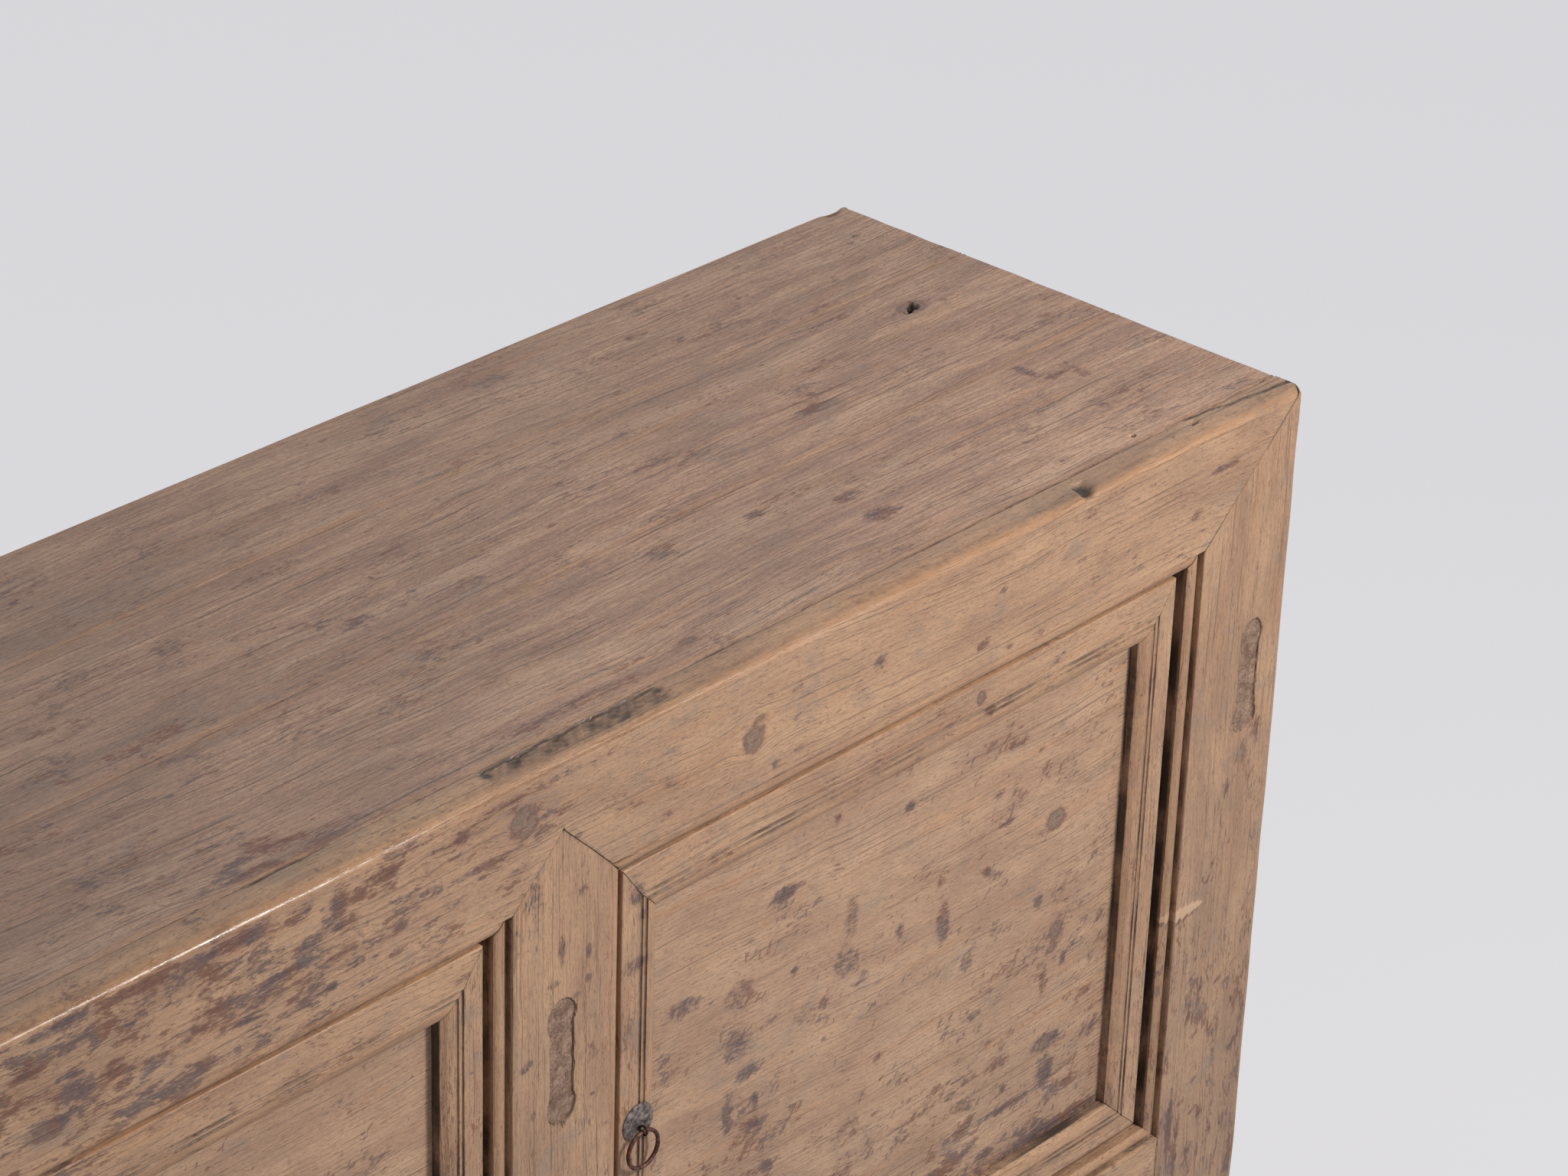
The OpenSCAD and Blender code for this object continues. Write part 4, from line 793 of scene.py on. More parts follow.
def rail_wear_and_falloff_shade(places):
    """More lacquer is left towards the rail's middle; the upper face is grey, and greyer to the left partly
    as painted shade for the lamp's falloff; its edge is polished
    """
    x = places[:, 0]
    y = places[:, 1] - top_y
    rests = 0.20 + 0.58 * ramp(x, 0.38, -0.36) - 0.36 * ramp(x, -0.14, -0.30)
    upper = np.clip((places[:, 2] - top_z + 1.6 * MM) / (1 * MM), 0, 1)
    behind = ramp(y, 10 * MM, 11 * MM)
    smudge = np.exp(-(((x - notch[0] + 16 * MM) / (26 * MM)) ** 2) - ((y - 11 * MM) / (9 * MM)) ** 2)
    filled = window((x - top_x) / MM, *gouge_ends, 9) * window(y / MM, 6.5, 15.5, 1.5)
    # The rise of greyness to the left is partly painted shade for the lamp's falloff, as on the top
    grey = upper * (behind * (0.5 + 0.7 * ramp(x, 0.5, -0.5)) * (1 - 0.6 * filled) + 1.4 * smudge)
    polish = 0.3 + 0.7 * ramp(x, 0.25, -0.12)
    return rests * (1 - 0.5 * upper), polish, grey + 0.15 * rests, 0.20 * filled * upper


rail_dents = [
    (notch, 4.2, 6.5, 2.4), (notch + (1 * MM, 7 * MM, 2 * MM), 5.0, 7.5, 4.1),
    (notch + (-20 * MM, 6 * MM, 2 * MM), 16, 7, 1.0), (strip_hole, 3.0, 2.4, 4.4),
    (at(-79, 0, -31), 17, 1.6, 0.9),
]
rail_fine = [(notch[0], 12 * MM, 1.1 * MM), (strip_hole[0], 6 * MM, 1.1 * MM), gouge_fine]
rail_end = top_x - leg_w + mitre_of(section, rail_h, leg_w)
timber("front_top_rail", "carcass", "elm_frame", notched(section, -rail_end, rail_end, 4.5, rail_fine),
       ((0, top_y, top_z - rail_h), RIGHT, UP, BACK), 11, (-0.16, 0.10), 0.012, 0.20, 0.8,
       rail_blemishes, rail_dents, hollow=seam_grime, age_and_shade=rail_wear_and_falloff_shade)


# Front bottom rail. The sill under the doors: the same bead along its upper edge, mitred into the beads
# of the legs, and notched for the lower points of the stiles.

sill_low, sill_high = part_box("front_bottom_rail")
sill_h = sill_high.z - sill_low.z
rebate_deep, rebate_down = 34 * MM, 18 * MM
section = np.vstack([
    beaded_face(sill_h - 1 * MM, 2.6),
    sides((sill_h - 1 * MM, 0), (sill_h, 1 * MM, 1, 0.8), (sill_h, skin, 5)),
    sides((sill_h, skin + slit), (sill_h, rail_d, 8), (rebate_down, rail_d, 8), (rebate_down, rebate_deep, 8),
          (0, rebate_deep, 8), (0, skin, 4, 0, 0.2)),
    side((0, skin - slit), (0, bead_edge), 3, 0, 0.3),
])
sill_end = top_x - leg_w + np.where(section[:, 1] < skin, np.clip(section[:, 0], 0, bead), 0)
timber("front_bottom_rail", "carcass", "elm_frame", notched(section, -sill_end, sill_end, 5),
       ((0, top_y, sill_high.z), RIGHT, -UP, BACK), 12, (-0.15, 0.10), 0.010, 0.20, 0.6,
       strewn(on_front, 12, 40, -1880, -110, -605, -548, 16, 3))


# Front legs. Square legs with a bead towards the opening, that run from the floor to a long mitre with
# the top rail; the outer corner is rubbed round, and the right leg holds an old plugged mortise.

leg_d = leg_high.y - leg_low.y
leg_corner = 3 * MM
leg_blemishes = {
    "front_right_leg": marked(on_front, stains=(
        (-87, -371, 1.8, 15), (-58, -460, 9, 8, 0.7), (-72, -600, 70, 2.2, 0.8), (-20, -250, 8, 5, 0.8),
        (-34, -262, 7, 6, 0.8), (-45, -232, 8, 4, 0.8), (-49, -284, 6, 3, 0.8), (-82, -545, 26, 2.4),
    ), scars=((-87, -366, 3.2, 17, 1.3),)) + strewn(on_front, 13, 30, -90, -6, -770, -330, 3.0, 6),
    "front_left_leg": strewn(on_front, 14, 34, -1980, -1896, -770, -90, 3.4, 7),
}


def upright_age(places):
    """Legs and stiles keep more lacquer and go greyer towards the floor, and the right-hand ones are paler
    above
    """
    low = ramp(places[:, 2], 0.62, -0.40)
    bare = 0.38 * ramp(places[:, 2], 0.48, 0.12) * (places[:, 0] > 0.5)
    return 0.12 + 0.46 * low, 0.3, 0.1 + 0.75 * low, bare


plug_low, plug_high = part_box("mortise_plugs")
plug_half_h = (plug_high.z - plug_low.z) / 2
plug_half_w = 11 * MM
plug_waist = 9 * MM
plug_z = (plug_low.z + plug_high.z) / 2
plug_x = {"front_right_leg": plug_high.x - plug_half_w, "right_front_stile": stile_x}
plug_fine = (plug_z, plug_half_h + 7 * MM, 1.1 * MM)
mortise_deep = 3.2 * MM


def beyond_mortise(dx, dz):
    """Distance outside the old mortise's outline: a slot with straight waist and two round, wider ends"""
    lobe = plug_half_h - plug_half_w
    waist = np.maximum(abs(dx) - plug_waist, abs(dz) - lobe)
    return np.minimum(waist, np.hypot(dx, abs(dz) - lobe) - plug_half_w)


def old_mortise(x):
    """Hollow for timber at that place along the cabinet, with a broken rim and black dirt round it"""
    def hollow(places, normal):
        """The wood falls where the ragged gap goes below zero, and is darkened within a millimetre of it"""
        gap = beyond_mortise(places[:, 0] - x, places[:, 2] - plug_z)
        gap = gap + 0.45 * MM * ripple(places * (1, 0, 1), 0.012, 5) + 0.2 * MM * ripple(places, 0.005, 6)
        front = normal[:, 1] < -0.6
        fall = np.clip(0.5 - gap / (0.9 * MM), 0, 1) * mortise_deep * front
        return fall, 0.78 * np.exp(-((gap / (1.1 * MM)) ** 2)) * front
    return hollow


def rounded_top(places):
    """Points of the leg above the worn top edge move back on to its curve"""
    rise = np.clip((places[:, 2] - top_z) / edge_fall + 1, 0, 1)
    edge = top_y + edge_deep * (1 - np.sqrt(1 - rise**2))
    result = places.copy()
    result[:, 1] = np.maximum(result[:, 1], edge)
    return result


def upright(name, section, start, stop, origin, way, seed, pith, slope, wear, blemishes, fine=(), shape=None,
            black=0.9):
    """Leg or stile of the front, with its old mortise where it has one"""
    hollow = None
    if name in plug_x:
        fine, hollow = [plug_fine, *fine], old_mortise(plug_x[name])
    else:
        fine = []
    timber(name, "carcass", "elm_frame", member(section, start, stop, 4.5, fine, black=black),
           (origin, UP, way, BACK), seed, pith, slope, 0.20, wear, blemishes, (), shape, hollow, upright_age)


leg_plug_p = plug_x["front_right_leg"] - (top_x - leg_w)
gap_shade_reach = 26 * MM
section = np.vstack([
    beaded_face(leg_w - leg_corner, 2.4, [(leg_plug_p, 14 * MM, 1.1 * MM)]),
    arc((leg_w - leg_corner, leg_corner), leg_corner, 0, 90, 6, 1.0),
    side((leg_w, leg_corner), (leg_w, strip), 3),
    # The side towards the opening is painted dark, near black over its front 26 mm and lighter behind:
    # painted shade in the gap beside the door
    sides((leg_w, strip + slit), (leg_w, leg_d, 5), (0, leg_d, 9), (0, gap_shade_reach, 4, 0, 0.25),
          (0, bead_edge, 3, 0, 0.85)),
])
leg_top = rail_low.z + mitre_of(section, leg_w, rail_h)
leg_top = np.where(section[:, 1] > strip, np.minimum(leg_top, plank_under), leg_top)
for name, hand in (("front_left_leg", -1), ("front_right_leg", 1)):
    upright(name, section, 0 * leg_top, leg_top, (hand * (top_x - leg_w), top_y, 0), hand * RIGHT, 16 + hand,
            (-0.14, 0.09), 0.010, 0.7, leg_blemishes[name], [(top_z - 366 * MM, 6 * MM, 1.2 * MM)],
            rounded_top)


# Front stiles. Two uprights between the doors, beaded on both sides, whose pointed shoulders are let into
# the rails above and below; the right one holds the second plugged mortise.

stile_w = 2 * stile_half
left_face = beaded_face(stile_half, 2.4, [(stile_half, 13 * MM, 1.1 * MM)])
right_face = left_face[::-1] * (-1, 1, 1, 1) + (stile_w, 0, 0, 0)
# A band 5.5 mm wide beside the bead on the left side is painted dark: painted shade beside the quirk, which
# faces away from the lamp
quirk_shade_band = (left_face[:, 0] > bead) & (left_face[:, 0] < bead + 5.5 * MM)
left_face[:, 3] = np.maximum(left_face[:, 3], 0.42 * quirk_shade_band)
section = np.vstack([
    left_face, (stile_half, 0, 0, 0), right_face,
    # The sides towards the doors are painted dark, near black over the front skin and lighter behind: painted
    # shade in the gaps
    side((stile_w, bead_edge), (stile_w, skin), 4, 0, 0.85),
    sides((stile_w, skin + slit), (stile_w, rail_d, 6, 0, 0.25), (0, rail_d, 10),
          (0, skin + slit, 6, 0, 0.25)),
    side((0, skin), (0, bead_edge), 4, 0, 0.85),
])
point = np.where(section[:, 1] <= skin, stile_half - abs(section[:, 0] - stile_half), 0)
rise = np.clip(section[:, 0] / stile_half, 0, 2)
black = np.where(rise < 1, 0.9 - 0.65 * rise, 0.9)
stile_stains = {
    "left_front_stile": (),
    "right_front_stile": ((-681, -126, 9, 2.6), (-718, -100, 6, 4, 0.7), (-701, -82, 12, 4, 0.8),
                          (-659, -136, 4, 2.6)),
}
for name, x, seed in (("left_front_stile", -stile_x, 21), ("right_front_stile", stile_x, 22)):
    middle = (x - top_x) / MM
    spots = marked(on_front, stile_stains[name])
    spots += strewn(on_front, seed, 34, middle - 38, middle + 38, -580, -70, 3.0, 5)
    upright(name, section, sill_high.z - point, rail_low.z + point, (x - stile_half, top_y, 0), RIGHT, seed,
            (0.22, 0.10), 0.008, 0.6, spots, black=black)


# Apron. A thin board under the sill between the legs, cut with a small rounded bracket at each end.

apron_low, apron_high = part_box("front_apron")
apron_x = apron_high.x
apron_t = apron_high.y - apron_low.y
apron_board = 44 * MM
bracket = 70 * MM
bracket_round = 17 * MM


def apron_depth(x):
    """Height of the apron at a place along it: a bracket at each end, with a quarter round inside it"""
    full = apron_high.z - apron_low.z
    inside = np.clip(apron_x - bracket - abs(x), 0, None)
    r = bracket_round
    curve = np.where(inside < r, full - r + np.sqrt(np.clip(r**2 - inside**2, 0, None)) - r, 0)
    return np.where(inside <= 0, full, np.where(inside < r, np.maximum(curve, apron_board), apron_board))


# The section is one metre high here, and each row is then brought to the apron's height at its place
section = sides((0, 0), (0.98, 0, 50), (1.0, 1 * MM, 20, 0.6), (1.0, apron_t, 9), (0, apron_t, 200),
                (0, 0, 9))
bends = apron_x - bracket - np.array([0, 0.001, *np.linspace(2, 17, 7), 17.001]) * MM
stations = np.unique(np.concatenate([np.linspace(-apron_x, apron_x, 330), bends, -bends]))
rows = np.stack([mark(x, section) for x in stations])
rows[:, :, 1] *= apron_depth(stations)[:, None]
timber("front_apron", "carcass", "elm_frame", rows, ((0, apron_low.y, apron_high.z), RIGHT, -UP, BACK), 27,
       (0.02, 0.12), 0.010, 0.3, 0.5)


# Mortise plugs. Two old mortises in the leg and the right stile, filled with a rough dark putty of dust
# and lacquer, which has sunk below the wood and broken away at its rim.


def putty():
    """Rough filler: grey-brown crumbs and pits about two millimetres across, with dull dark hollows"""
    stuff, t = new_material("rough_plug_filler")
    place = add(t, "TexCoord", out="Object")
    crumbs = add(t, "TexNoise", {"Vector": place, "Scale": 520.0, "Detail": 5.0, "Roughness": 0.7})
    lumps = add(t, "TexNoise", {"Vector": place, "Scale": 130.0, "Detail": 3.0})
    half = add(t, TIMES, (add(t, PLUS, (crumbs, lumps)), 0.5))
    shader = add(t, "BsdfPrincipled", {
        "Base Color": add(t, "ValToRGB", (half,),
                          stops=((0.38, "644E40"), (0.50, "846A5A"), (0.62, "A08572"))),
        "Roughness": 0.85,
        "Normal": add(t, "Bump", {"Height": half, "Strength": 0.9, "Distance": 0.001}),
    })
    add(t, "OutputMaterial", {"Surface": shader})
    return stuff


plug_face = plug_low.y
plug_rings, plug_spokes = 16, 72
angle = np.linspace(0, 2 * np.pi, plug_spokes, endpoint=False)
way = np.column_stack([np.cos(angle), np.sin(angle)])
plugs = []
for seed, x in enumerate(plug_x.values()):
    reach = np.linspace(0, plug_half_h + 2 * MM, 500)[:, None]
    inside = beyond_mortise(reach * way[:, 0], reach * way[:, 1]) < 0.2 * MM
    rim = (reach * inside).max(0)
    r = np.linspace(1.0, 0.08, plug_rings)[:, None]
    flat = np.stack([x + r * rim * way[:, 0], plug_face + 0 * r * rim, plug_z + r * rim * way[:, 1]], -1)
    places, faces = closed_tube(np.concatenate([flat[:1] + (0, 9 * MM, 0), flat]))
    crumb = 0.5 + 0.5 * ripple(places * (1, 0, 1), 0.007, 31 + seed) + 0.4 * ripple(places, 0.003, 41 + seed)
    places[:, 1] += np.where(places[:, 1] < plug_face + 1e-6, np.clip(crumb, 0, 1.6) * 0.4 * MM, 0)
    plugs.append((places, faces))


def joined(shells):
    """One set of points and triangles from several shells, each turned outwards"""
    places, faces = [], []
    for p, f in shells:
        _, p, f = welded(p, p, f)
        faces.append(f + sum(len(x) for x in places))
        places.append(p)
    return np.concatenate(places), np.concatenate(faces)


mesh_piece("mortise_plugs", "carcass", "plug_filler", putty(), *joined(plugs))


# Doors. Each is a frame of moulded members, mitred on the face, round a flat board of elm laid across;
# the hinge stile ends in two turned wooden pins, and the others stop short of the opening's edges.

woods["elm_panel"] = elm("weathered_elm_panel", "BE9C80", "B29076", "A4836C", "8A6A55", 1.0, 3.2, 0.30, 0.50,
                         0.0, 0.45, (90, 30))
groove = 1 * MM
pair_w = 6 * MM
ovolo = 10 * MM
ovolo_drop = 4 * MM
ovolo_round = (ovolo**2 + ovolo_drop**2) / (2 * ovolo_drop)
ovolo_turn = math.degrees(math.asin(ovolo / ovolo_round))
mould = pair_w + ovolo
door_skin = 9 * MM
flats = {"pull": 16 * MM, "hinge": 15 * MM, "top": 22 * MM, "bottom": 14 * MM}
pin_inset = 13 * MM
pin_depth = 15 * MM
pin_round = 5.5 * MM
pin_chamfer = 0.8 * MM
pin_root = 2 * MM


def door_section(flat, thick):
    """Section of a door member from its outer edge: the flat, two fine grooves, and the ovolo to the panel"""
    width = flat + mould
    return np.vstack([
        arc((arris, arris), arris, -90, 0, 3, 0.8, 0.1),
        side((arris, 0), (flat, 0), 2),
        # The two grooves are darkened: grime and painted shade in the creases
        arc((flat + groove, 0), groove, -90, -270, 7, 0, 0.62),
        side((flat + 2 * groove, 0), (flat + pair_w - 2 * groove, 0), 1, 0.3, 0.1),
        arc((flat + pair_w - groove, 0), groove, -90, -270, 7, 0, 0.62),
        arc((flat + pair_w, ovolo_round), ovolo_round, 0, ovolo_turn, 8, 0.3),
        # The walls round the panel and the door's outer edge are darkened: painted shade in the recess and
        # the gap
        side((width, ovolo_drop), (width, door_skin), 1.5, 0, 0.85),
        sides((width, door_skin + slit), (width, thick, 6, 0, 0.9), (0, thick, 8),
              (0, door_skin + slit, 6, 0, 0.2)),
        side((0, door_skin), (0, arris), 3, 0, 0.2),
    ])


def panel_age(places):
    """Lacquer is left on the panels in ragged clouds, two fingers wide, and more of it lower down; the wood
    is scrubbed paler near the top"""
    low = ramp(places[:, 2], 0.55, -0.25)
    bare = 0.40 * ramp(places[:, 2], 0.56, 0.09)
    rests = 0.14 + 0.30 * low + 0.22 * ripple(places, 0.055, 71) + 0.10 * ripple(places, 0.16, 72)
    return rests, 0.3, 0.3 * low, bare


def mitre_line(across, flat, other):
    """Mitre that meets the neighbour's flat, groove for groove: it is steeper or flatter over the flat"""
    return np.where(across < flat, across * other / flat, other + across - flat)


def pin(low, high, centre):
    """Turned pin with a small chamfer at both ends: circles round an upright line through centre"""
    a = np.linspace(0, 2 * np.pi, 28, endpoint=False)
    narrow = pin_round - pin_chamfer
    turned = ((low, narrow), (low + pin_chamfer, pin_round), (high - pin_chamfer, pin_round), (high, narrow))
    places, faces = joined([closed_tube(np.stack([
        np.column_stack([r * np.cos(a), r * np.sin(a), np.full(len(a), z)]) for z, r in turned
    ]))])
    return places + centre, faces


door_facts = {"left": (-1, 31), "middle": (1, 32), "right": (1, 33)}
right_door_blemishes = marked(on_front, stains=(
    (-324, -275, 5.5, 12), (-366, -262, 3, 5), (-282, -254, 3, 3), (-328, -242, 4, 3, 0.8),
    (-299, -318, 5, 3.5, 0.7), (-227, -300, 4, 6), (-201, -300, 13, 15, 0.5), (-210, -346, 6, 3),
    (-217, -369, 3.4, 9), (-197, -358, 3, 5, 0.8), (-257, -169, 9.5, 3), (-362, -172, 4, 3),
    (-474, -185, 12, 4), (-413, -231, 5, 14, 0.8), (-418, -262, 12, 11, 0.7), (-437, -282, 4.5, 4),
    (-440, -284, 18, 9, 0.5), (-513, -241, 10, 9, 0.85), (-515, -277, 12, 10, 0.7), (-465, -246, 3, 3),
    (-565, -227, 12, 6, 0.85), (-506, -301, 8, 4.5), (-522, -321, 4, 14, 0.8), (-497, -327, 3, 8, 0.7),
    (-499, -342, 8, 4, 0.8), (-381, -349, 4.5, 2.6), (-410, -392, 12, 8, 0.6), (-485, -381, 5, 5, 0.8),
    (-411, -419, 10, 8, 0.7), (-211, -418, 13, 6), (-209, -441, 7, 10, 0.95), (-260, -412, 12, 4, 0.75),
    (-253, -436, 3, 3), (-252, -452, 24, 2.6, 0.8), (-157, -465, 3, 6, 0.7), (-289, -362, 6, 3, 0.7),
    (-267, -481, 8, 2.6, 0.8), (-205, -492, 56, 4, 0.9), (-366, -138, 9, 8, 0.7), (-301, -124, 5, 4),
    (-430, -152, 3, 4), (-615, -120, 5, 6), (-616, -168, 4, 10), (-610, -136, 3, 3),
), knots=((-206, -333, 7, 8), (-214, -244, 9, 7), (-310, -111, 4.5, 4.5)))
for name, (hand, seed) in door_facts.items():
    pull_low, pull_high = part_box(f"{name}_door_pull_stile")
    hinge_low, hinge_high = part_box(f"{name}_door_hinge_stile")
    thick = pull_high.y - pull_low.y
    face_y = pull_low.y
    foot = pull_low.z
    pull_edge = pull_low.x if hand > 0 else pull_high.x
    hinge_edge = hinge_high.x if hand > 0 else hinge_low.x
    door_w, door_h = abs(hinge_edge - pull_edge), pull_high.z - pull_low.z
    body = f"{name}_door"
    ends = sorted(((pull_edge - top_x) / MM, (hinge_edge - top_x) / MM))
    spots = right_door_blemishes if name == "right" else []
    spots = spots + strewn(on_front, seed, 12, *ends, -525, -100, 9, 2.6)
    inward = hand * RIGHT

    for part, own, first, second, x, z, length, along, across, number in (
        ("pull_stile", "pull", "bottom", "top", pull_edge, foot, door_h, UP, inward, 3),
        ("hinge_stile", "hinge", "bottom", "top", hinge_edge, foot, door_h, UP, -inward, 3),
        ("top_rail", "top", "pull", "hinge", pull_edge, foot + door_h, door_w, inward, -UP, 5),
        ("bottom_rail", "bottom", "pull", "hinge", pull_edge, foot, door_w, inward, UP, 7),
    ):
        section = door_section(flats[own], thick)
        start, stop = [
            np.where(section[:, 1] <= door_skin, mitre_line(section[:, 0], flats[own], flats[other]),
                     flats[other] + mould if "rail" in part else 0)
            for other in (first, second)
        ]
        node = f"{name}_door_{part}"
        rows = member(section, start, length - stop, 4, ease=0.3, shade=3, black=0.55)
        timber(node, body, "elm_frame", rows, ((x, face_y, z), along, across, BACK), seed + number,
               (-0.10, 0.08), 0.008, 0.2, 0.4, spots)
        if part == "hinge_stile":
            centre = np.array((hinge_edge - hand * pin_inset, face_y + pin_depth, 0))
            for end, low, high in (("bottom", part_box(node)[0].z, foot + pin_root),
                                   ("top", foot + door_h - pin_root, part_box(node)[1].z)):
                places, faces = pin(low, high, centre)
                clean = np.tile((0.0, 0.0, 0.0, 1.0), (len(places), 1))
                mesh_piece(f"{node}_{end}_pin", body, "elm_frame", woods["elm_frame"], places, faces,
                           grain=places[:, [2, 0, 1]] + seed, blemish=clean, surface=clean + (0, 0.3, 0, 0))

    node = f"{name}_door_panel"
    low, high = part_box(node)
    board_t = high.y - low.y
    board_h = high.z - low.z
    edge = 9 * MM
    # The margins next to the frame are darkened: grime and painted shade where the panel sits in the frame's
    # recess
    section = sides((0, 0), (edge, 0, 1.5, 0, 0.35), (board_h - edge, 0, 2.6), (board_h, 0, 1.5, 0, 0.35),
                    (board_h, board_t, 5), (0, board_t, 12), (0, 0, 5))
    marks = [mark(low.x, section, 0.35), mark(low.x + edge, section, 0.3), mark(low.x + 12 * MM, section),
             mark(high.x - 12 * MM, section), mark(high.x - edge, section, 0.3),
             mark(high.x, section, 0.35)]
    timber(node, body, "elm_panel", rows_between(marks, 2.8), ((0, low.y, low.z), RIGHT, UP, BACK), seed + 11,
           (-0.30, 0.10), 0.014, 0.35, 0.3, spots, age_and_shade=panel_age)


# Ring pulls. A small round plate of hand-cut sheet iron, a staple of drawn wire clinched behind the door,
# and a forged ring that hangs in its eye; the iron is brown with old rust and polished by fingers.


def iron(name, light, mid, dark, rough, metal=0.75):
    """Forged iron with a thin skin of rust: blotches about three millimetres across"""
    stuff, t = new_material(name)
    place = add(t, "TexCoord", out="Object")
    blotch = add(t, "TexNoise", {"Vector": place, "Scale": 320.0, "Detail": 4.0, "Roughness": 0.65})
    grit = add(t, "TexNoise", {"Vector": place, "Scale": 1500.0, "Detail": 2.0})
    shader = add(t, "BsdfPrincipled", {
        "Base Color": add(t, "ValToRGB", (blotch,), stops=((0.38, dark), (0.52, mid), (0.66, light))),
        "Metallic": metal,
        "Roughness": add(t, "MapRange", (blotch, 0.35, 0.65, rough + 0.15, rough - 0.1)),
        "Normal": add(t, "Bump", {"Height": add(t, PLUS, (blotch, grit)), "Strength": 0.5,
                                  "Distance": 0.0004}),
    })
    add(t, "OutputMaterial", {"Surface": shader})
    return stuff


plate_iron = iron("worn_sheet_iron", "9C9490", "7A716E", "4A3F3B", 0.50)
wire_iron = iron("dark_drawn_iron", "6A5A52", "3E3330", "241D1B", 0.42)
ring_iron = iron("rust_brown_forged_iron", "7A5244", "5A3A30", "36241F", 0.45, 0.6)


def torus(radius, wire, count, sides):
    """Points and triangles of a ring in its own plane: angle a goes round the ring and b round the wire"""
    a = np.linspace(0, 2 * np.pi, count, endpoint=False)[:, None]
    b = np.linspace(0, 2 * np.pi, sides, endpoint=False)[None, :]
    r = radius + wire * np.cos(b)
    places = np.stack([r * np.cos(a), r * np.sin(a), wire * np.sin(b) + 0 * a], -1)
    index = np.arange(count * sides).reshape(count, sides)
    b, d = np.roll(index, -1, 1), np.roll(index, -1, 0)
    c = np.roll(d, -1, 1)
    faces = [np.stack([index, b, c], -1).reshape(-1, 3), np.stack([index, c, d], -1).reshape(-1, 3)]
    return places.reshape(-1, 3), np.concatenate(faces)


def wire(start, stop, radius):
    """Straight piece of wire: a circle of ten points square to it at each end"""
    start, stop = np.array(start), np.array(stop)
    way = (stop - start) / np.linalg.norm(stop - start)
    one = np.cross(way, (1.0, 0.3, 0.2))
    one /= np.linalg.norm(one)
    two = np.cross(way, one)
    b = np.linspace(0, 2 * np.pi, 10, endpoint=False)[:, None]
    return closed_tube(np.stack([p + radius * (np.cos(b) * one + np.sin(b) * two) for p in (start, stop)]))


# The plate's profile is in shares of its radius, and in millimetres out from the door
plate_round = 13 * MM
plate_profile = ((0.98, 0), (1.0, 0.1), (1.0, 0.6), (0.97, 0.8), (0.9, 1.3), (0.8, 1.5), (0.6, 1.42),
                 (0.4, 1.36), (0.2, 1.3))
staple_wire = 0.8 * MM
staple_loop = 3.0 * MM
ring_wire = 1.4 * MM
tail = 8 * MM
for name, (_, seed) in door_facts.items():
    body = f"{name}_door"
    low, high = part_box(f"{name}_pull_plate")
    centre = np.array([(low.x + high.x) / 2, high.y, (low.z + high.z) / 2])
    a = np.linspace(0, 2 * np.pi, 64, endpoint=False)
    round_it = np.column_stack([np.cos(a), np.sin(a), 0 * a]) * 0.013
    ragged = 1 - 0.025 * (0.5 + 0.5 * ripple(round_it, 0.01, seed))
    rows = []
    for r, out in plate_profile:
        reach = plate_round * r * ragged
        rows.append(np.column_stack([reach * np.cos(a), np.full(64, -out * MM), reach * np.sin(a)]))
    places, faces = closed_tube(np.stack(rows))
    beaten = 0.12 * MM * ripple(places, 0.006, seed + 5)
    places[:, 1] += np.where(places[:, 1] < -0.7 * MM, 0.12 * MM + beaten, 0)
    places, faces = joined([(places, faces)])
    mesh_piece(f"{name}_pull_plate", body, "forged_iron", plate_iron, places + centre, faces)

    low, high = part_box(f"{name}_pull_staple")
    x, y, z = centre[0], low.y + staple_loop + staple_wire, centre[2] - 4 * MM
    back = high.y - 2 * staple_wire
    places, faces = torus(staple_loop, staple_wire, 40, 12)
    shells = [(places[:, [2, 1, 0]] + (x, y, z), faces)]
    for up in (-1, 1):
        leg_z, bend = z + up * 0.85 * MM, back + 0.75 * MM
        shells += [wire((x, y + staple_loop - 0.4 * MM, leg_z), (x, back + 1.4 * MM, leg_z), 0.7 * MM),
                   wire((x, bend, leg_z), (x, bend, leg_z + up * tail), 0.62 * MM)]
    mesh_piece(f"{name}_pull_staple", body, "forged_iron", wire_iron, *joined(shells))

    low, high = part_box(f"{name}_pull_ring")
    centre = np.array([(low.x + high.x) / 2, (low.y + high.y) / 2, (low.z + high.z) / 2])
    ring_round = (high.x - low.x) / 2 - ring_wire
    places, faces = torus(ring_round, ring_wire, 96, 14)
    worn = 0.10 * MM * (0.5 + 0.5 * ripple(places, 0.009, seed + 8))
    flat = np.linalg.norm(places[:, :2], axis=1)
    way = np.column_stack([places[:, :2] * (1 - ring_round / flat)[:, None], places[:, 2]])
    way /= np.linalg.norm(way, axis=1)[:, None]
    places, faces = joined([((places - way * worn[:, None])[:, [0, 2, 1]], faces)])
    mesh_piece(f"{name}_pull_ring", f"{name}_ring", "forged_iron", ring_iron, places + centre, faces)


# Sides and back. Framed like the front but plain: square back legs, rails with long tenons, and boards
# that float in grooves; the back's wood is rougher and has never been waxed.

woods["elm_inside"] = elm("unwaxed_elm_inside", "A98A70", "8F7059", "72573F", "5C4433", 0.35, 5.0, 0.30, 0.62)


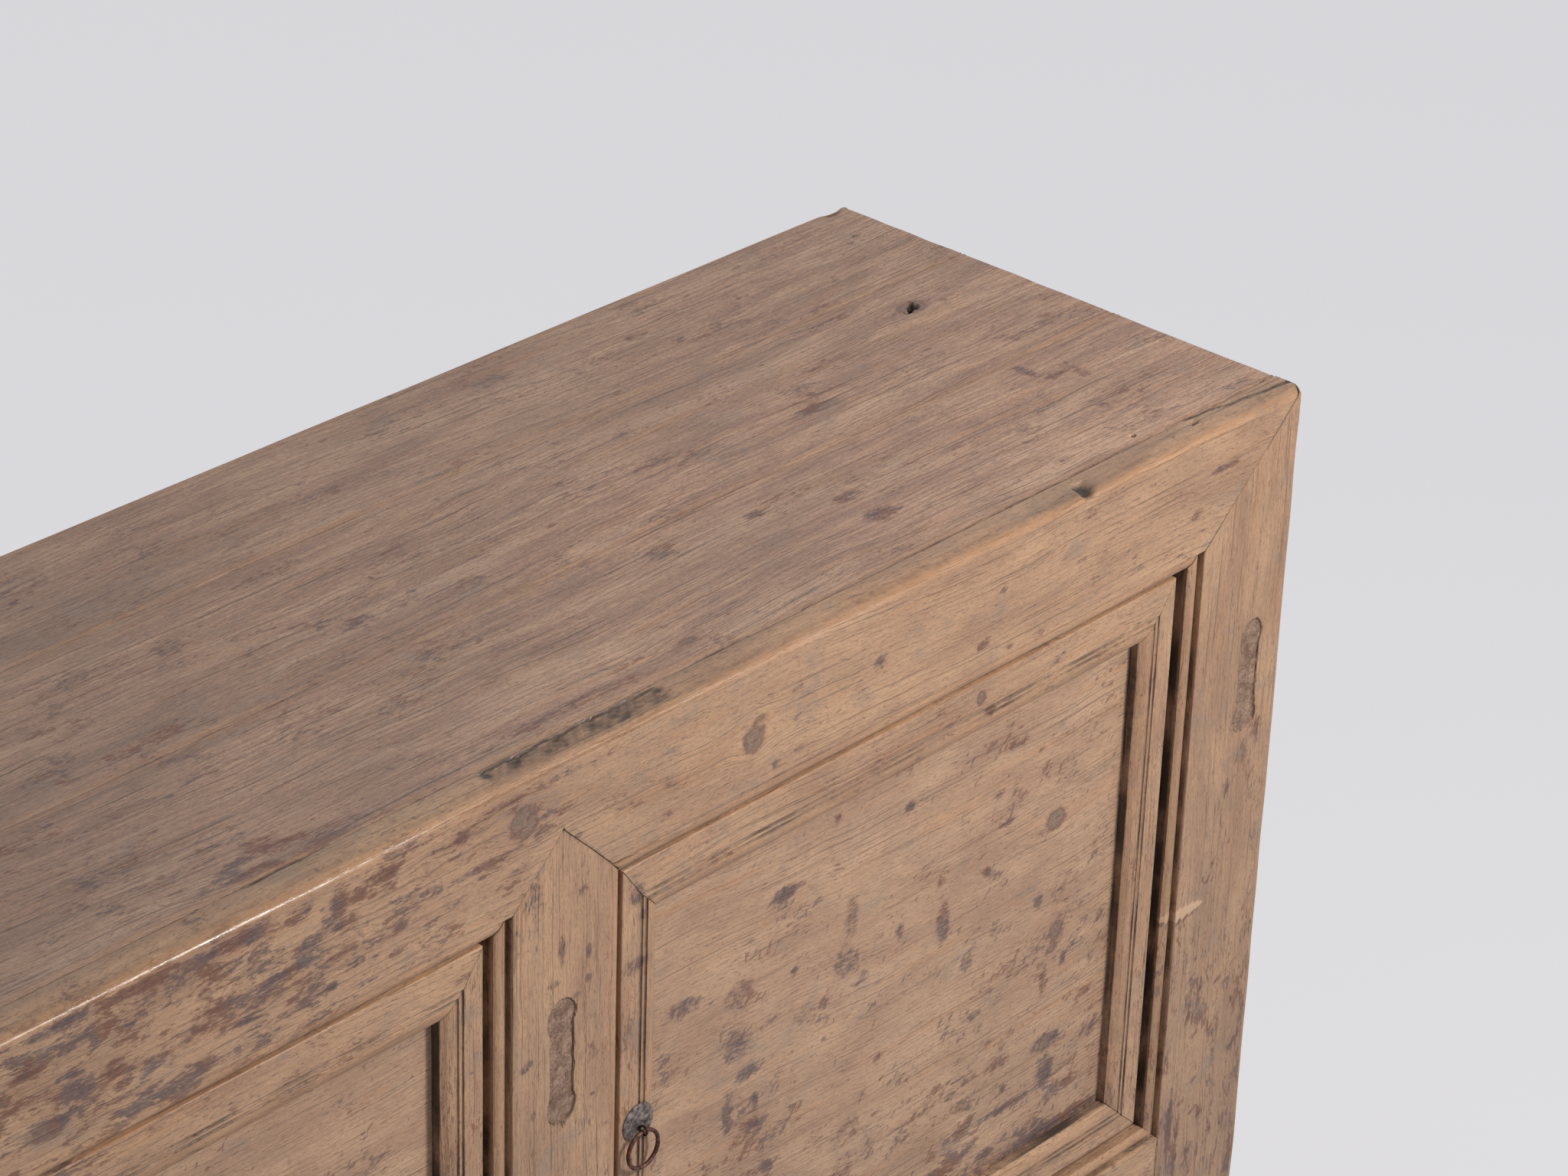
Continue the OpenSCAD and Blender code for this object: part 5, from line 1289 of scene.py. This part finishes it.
def board(name, slot, along, face, seed, low=None, high=None):
    """Plain squared board in its CAD node's box, or between two corners: its section lies square to along,
    with eased arrises, and its face looks out at -x, +x or +y"""
    low, high = np.array((low, high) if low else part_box(name), float)
    deep = "xyz".index(face[1])
    length_axis = "xyz".index(along)
    across = 3 - length_axis - deep
    turned = 1 if face[0] == "-" else -1
    w, d = high[across] - low[across], high[deep] - low[deep]
    section = np.vstack([
        arc((arris, arris), arris, -90, 0, 3, 0.8), side((arris, 0), (w - arris, 0), 4),
        arc((w - arris, arris), arris, 0, 90, 3, 0.8),
        sides((w, arris), (w, d, 12), (0, d, 20), (0, arris, 12)),
    ])
    rows = member(section, 0.0, high[length_axis] - low[length_axis], 8, ease=0.5, shade=3)
    origin = low.copy()
    if turned < 0:
        origin[deep] = high[deep]
    unit = np.eye(3)
    timber(name, "carcass", slot, rows, (origin, unit[length_axis], unit[across], turned * unit[deep]), seed,
           (0.03 + 0.01 * (seed % 5), 0.10), 0.009, 0.3, 0.5)


for hand, word in ((-1, "left"), (1, "right")):
    outward = "-x" if hand < 0 else "+x"
    board(f"back_{word}_leg", "elm_frame", "z", outward, 60 + hand)
    for number, node in enumerate((f"{word}_side_top_rail", f"{word}_side_bottom_rail")):
        low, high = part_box(node)
        low.y, high.y = leg_high.y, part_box(f"back_{word}_leg")[0].y
        board(node, "elm_frame", "y", outward, 62 + number + hand, low, high)
    board(f"{word}_side_panel", "elm_panel", "y", outward, 66 + hand)

back_leg_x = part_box("back_right_leg")[0].x
for number, node in enumerate(("back_top_rail", "back_bottom_rail")):
    low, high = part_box(node)
    low.x, high.x = -back_leg_x, back_leg_x
    board(node, "elm_inside", "x", "+y", 70 + number, low, high)
for number, node in enumerate(("back_left_stile", "back_right_stile")):
    low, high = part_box(node)
    middle = (low.x + high.x) / 2
    board(node, "elm_inside", "z", "+y", 73 + number,
          (middle - 30 * MM, low.y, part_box("back_bottom_rail")[1].z),
          (middle + 30 * MM, high.y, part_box("back_top_rail")[0].z))
for number, node in enumerate(("back_left_panel", "back_middle_panel", "back_right_panel")):
    board(node, "elm_inside", "x", "+y", 76 + number)


# Inside. Bottom boards, shelf, bearers, battens and door stops keep their CAD shape; they are of the same
# plain elm, sawn and left unwaxed, with the grain along each piece.


def sawn_elm(name, along):
    """Unwaxed sawn elm on Object coordinates, with the fibres along one axis"""
    stuff, t = new_material(name)
    place = add(t, "TexCoord", out="Object")
    noise = []
    for fine, coarse in ((260.0, 8.0), (26.0, 5.0)):
        size = [fine, fine, fine]
        size[along] = coarse
        spread = add(t, "VectorMath", (place, size), operation="MULTIPLY")
        noise.append(add(t, "TexNoise", {"Vector": spread, "Scale": 1.0, "Detail": 3.0, "Roughness": 0.65}))
    half = add(t, TIMES, (add(t, PLUS, noise), 0.5))
    shader = add(t, "BsdfPrincipled", {
        "Base Color": add(t, "ValToRGB", (half,),
                          stops=((0.36, "5C4433"), (0.50, "8F7059"), (0.64, "A98A70"))),
        "Roughness": 0.68,
        "Normal": add(t, "Bump", {"Height": noise[0], "Strength": 0.5, "Distance": 0.0008}),
    })
    add(t, "OutputMaterial", {"Surface": shader})
    return stuff


inner_nodes = (
    (sawn_elm("sawn_elm_lengthwise", 0), ("bottom_boards", "inner_shelf", "door_stops")),
    (sawn_elm("sawn_elm_crosswise", 1), ("bottom_bearers", "shelf_bearers", "top_battens")),
    (sawn_elm("sawn_elm_upright", 2), ("left_door_batten", "middle_door_batten", "right_door_batten")),
)
for stuff, nodes in inner_nodes:
    for node in nodes:
        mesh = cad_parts[node].data
        mesh.materials.clear()
        mesh.materials.append(stuff)


low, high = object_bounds()
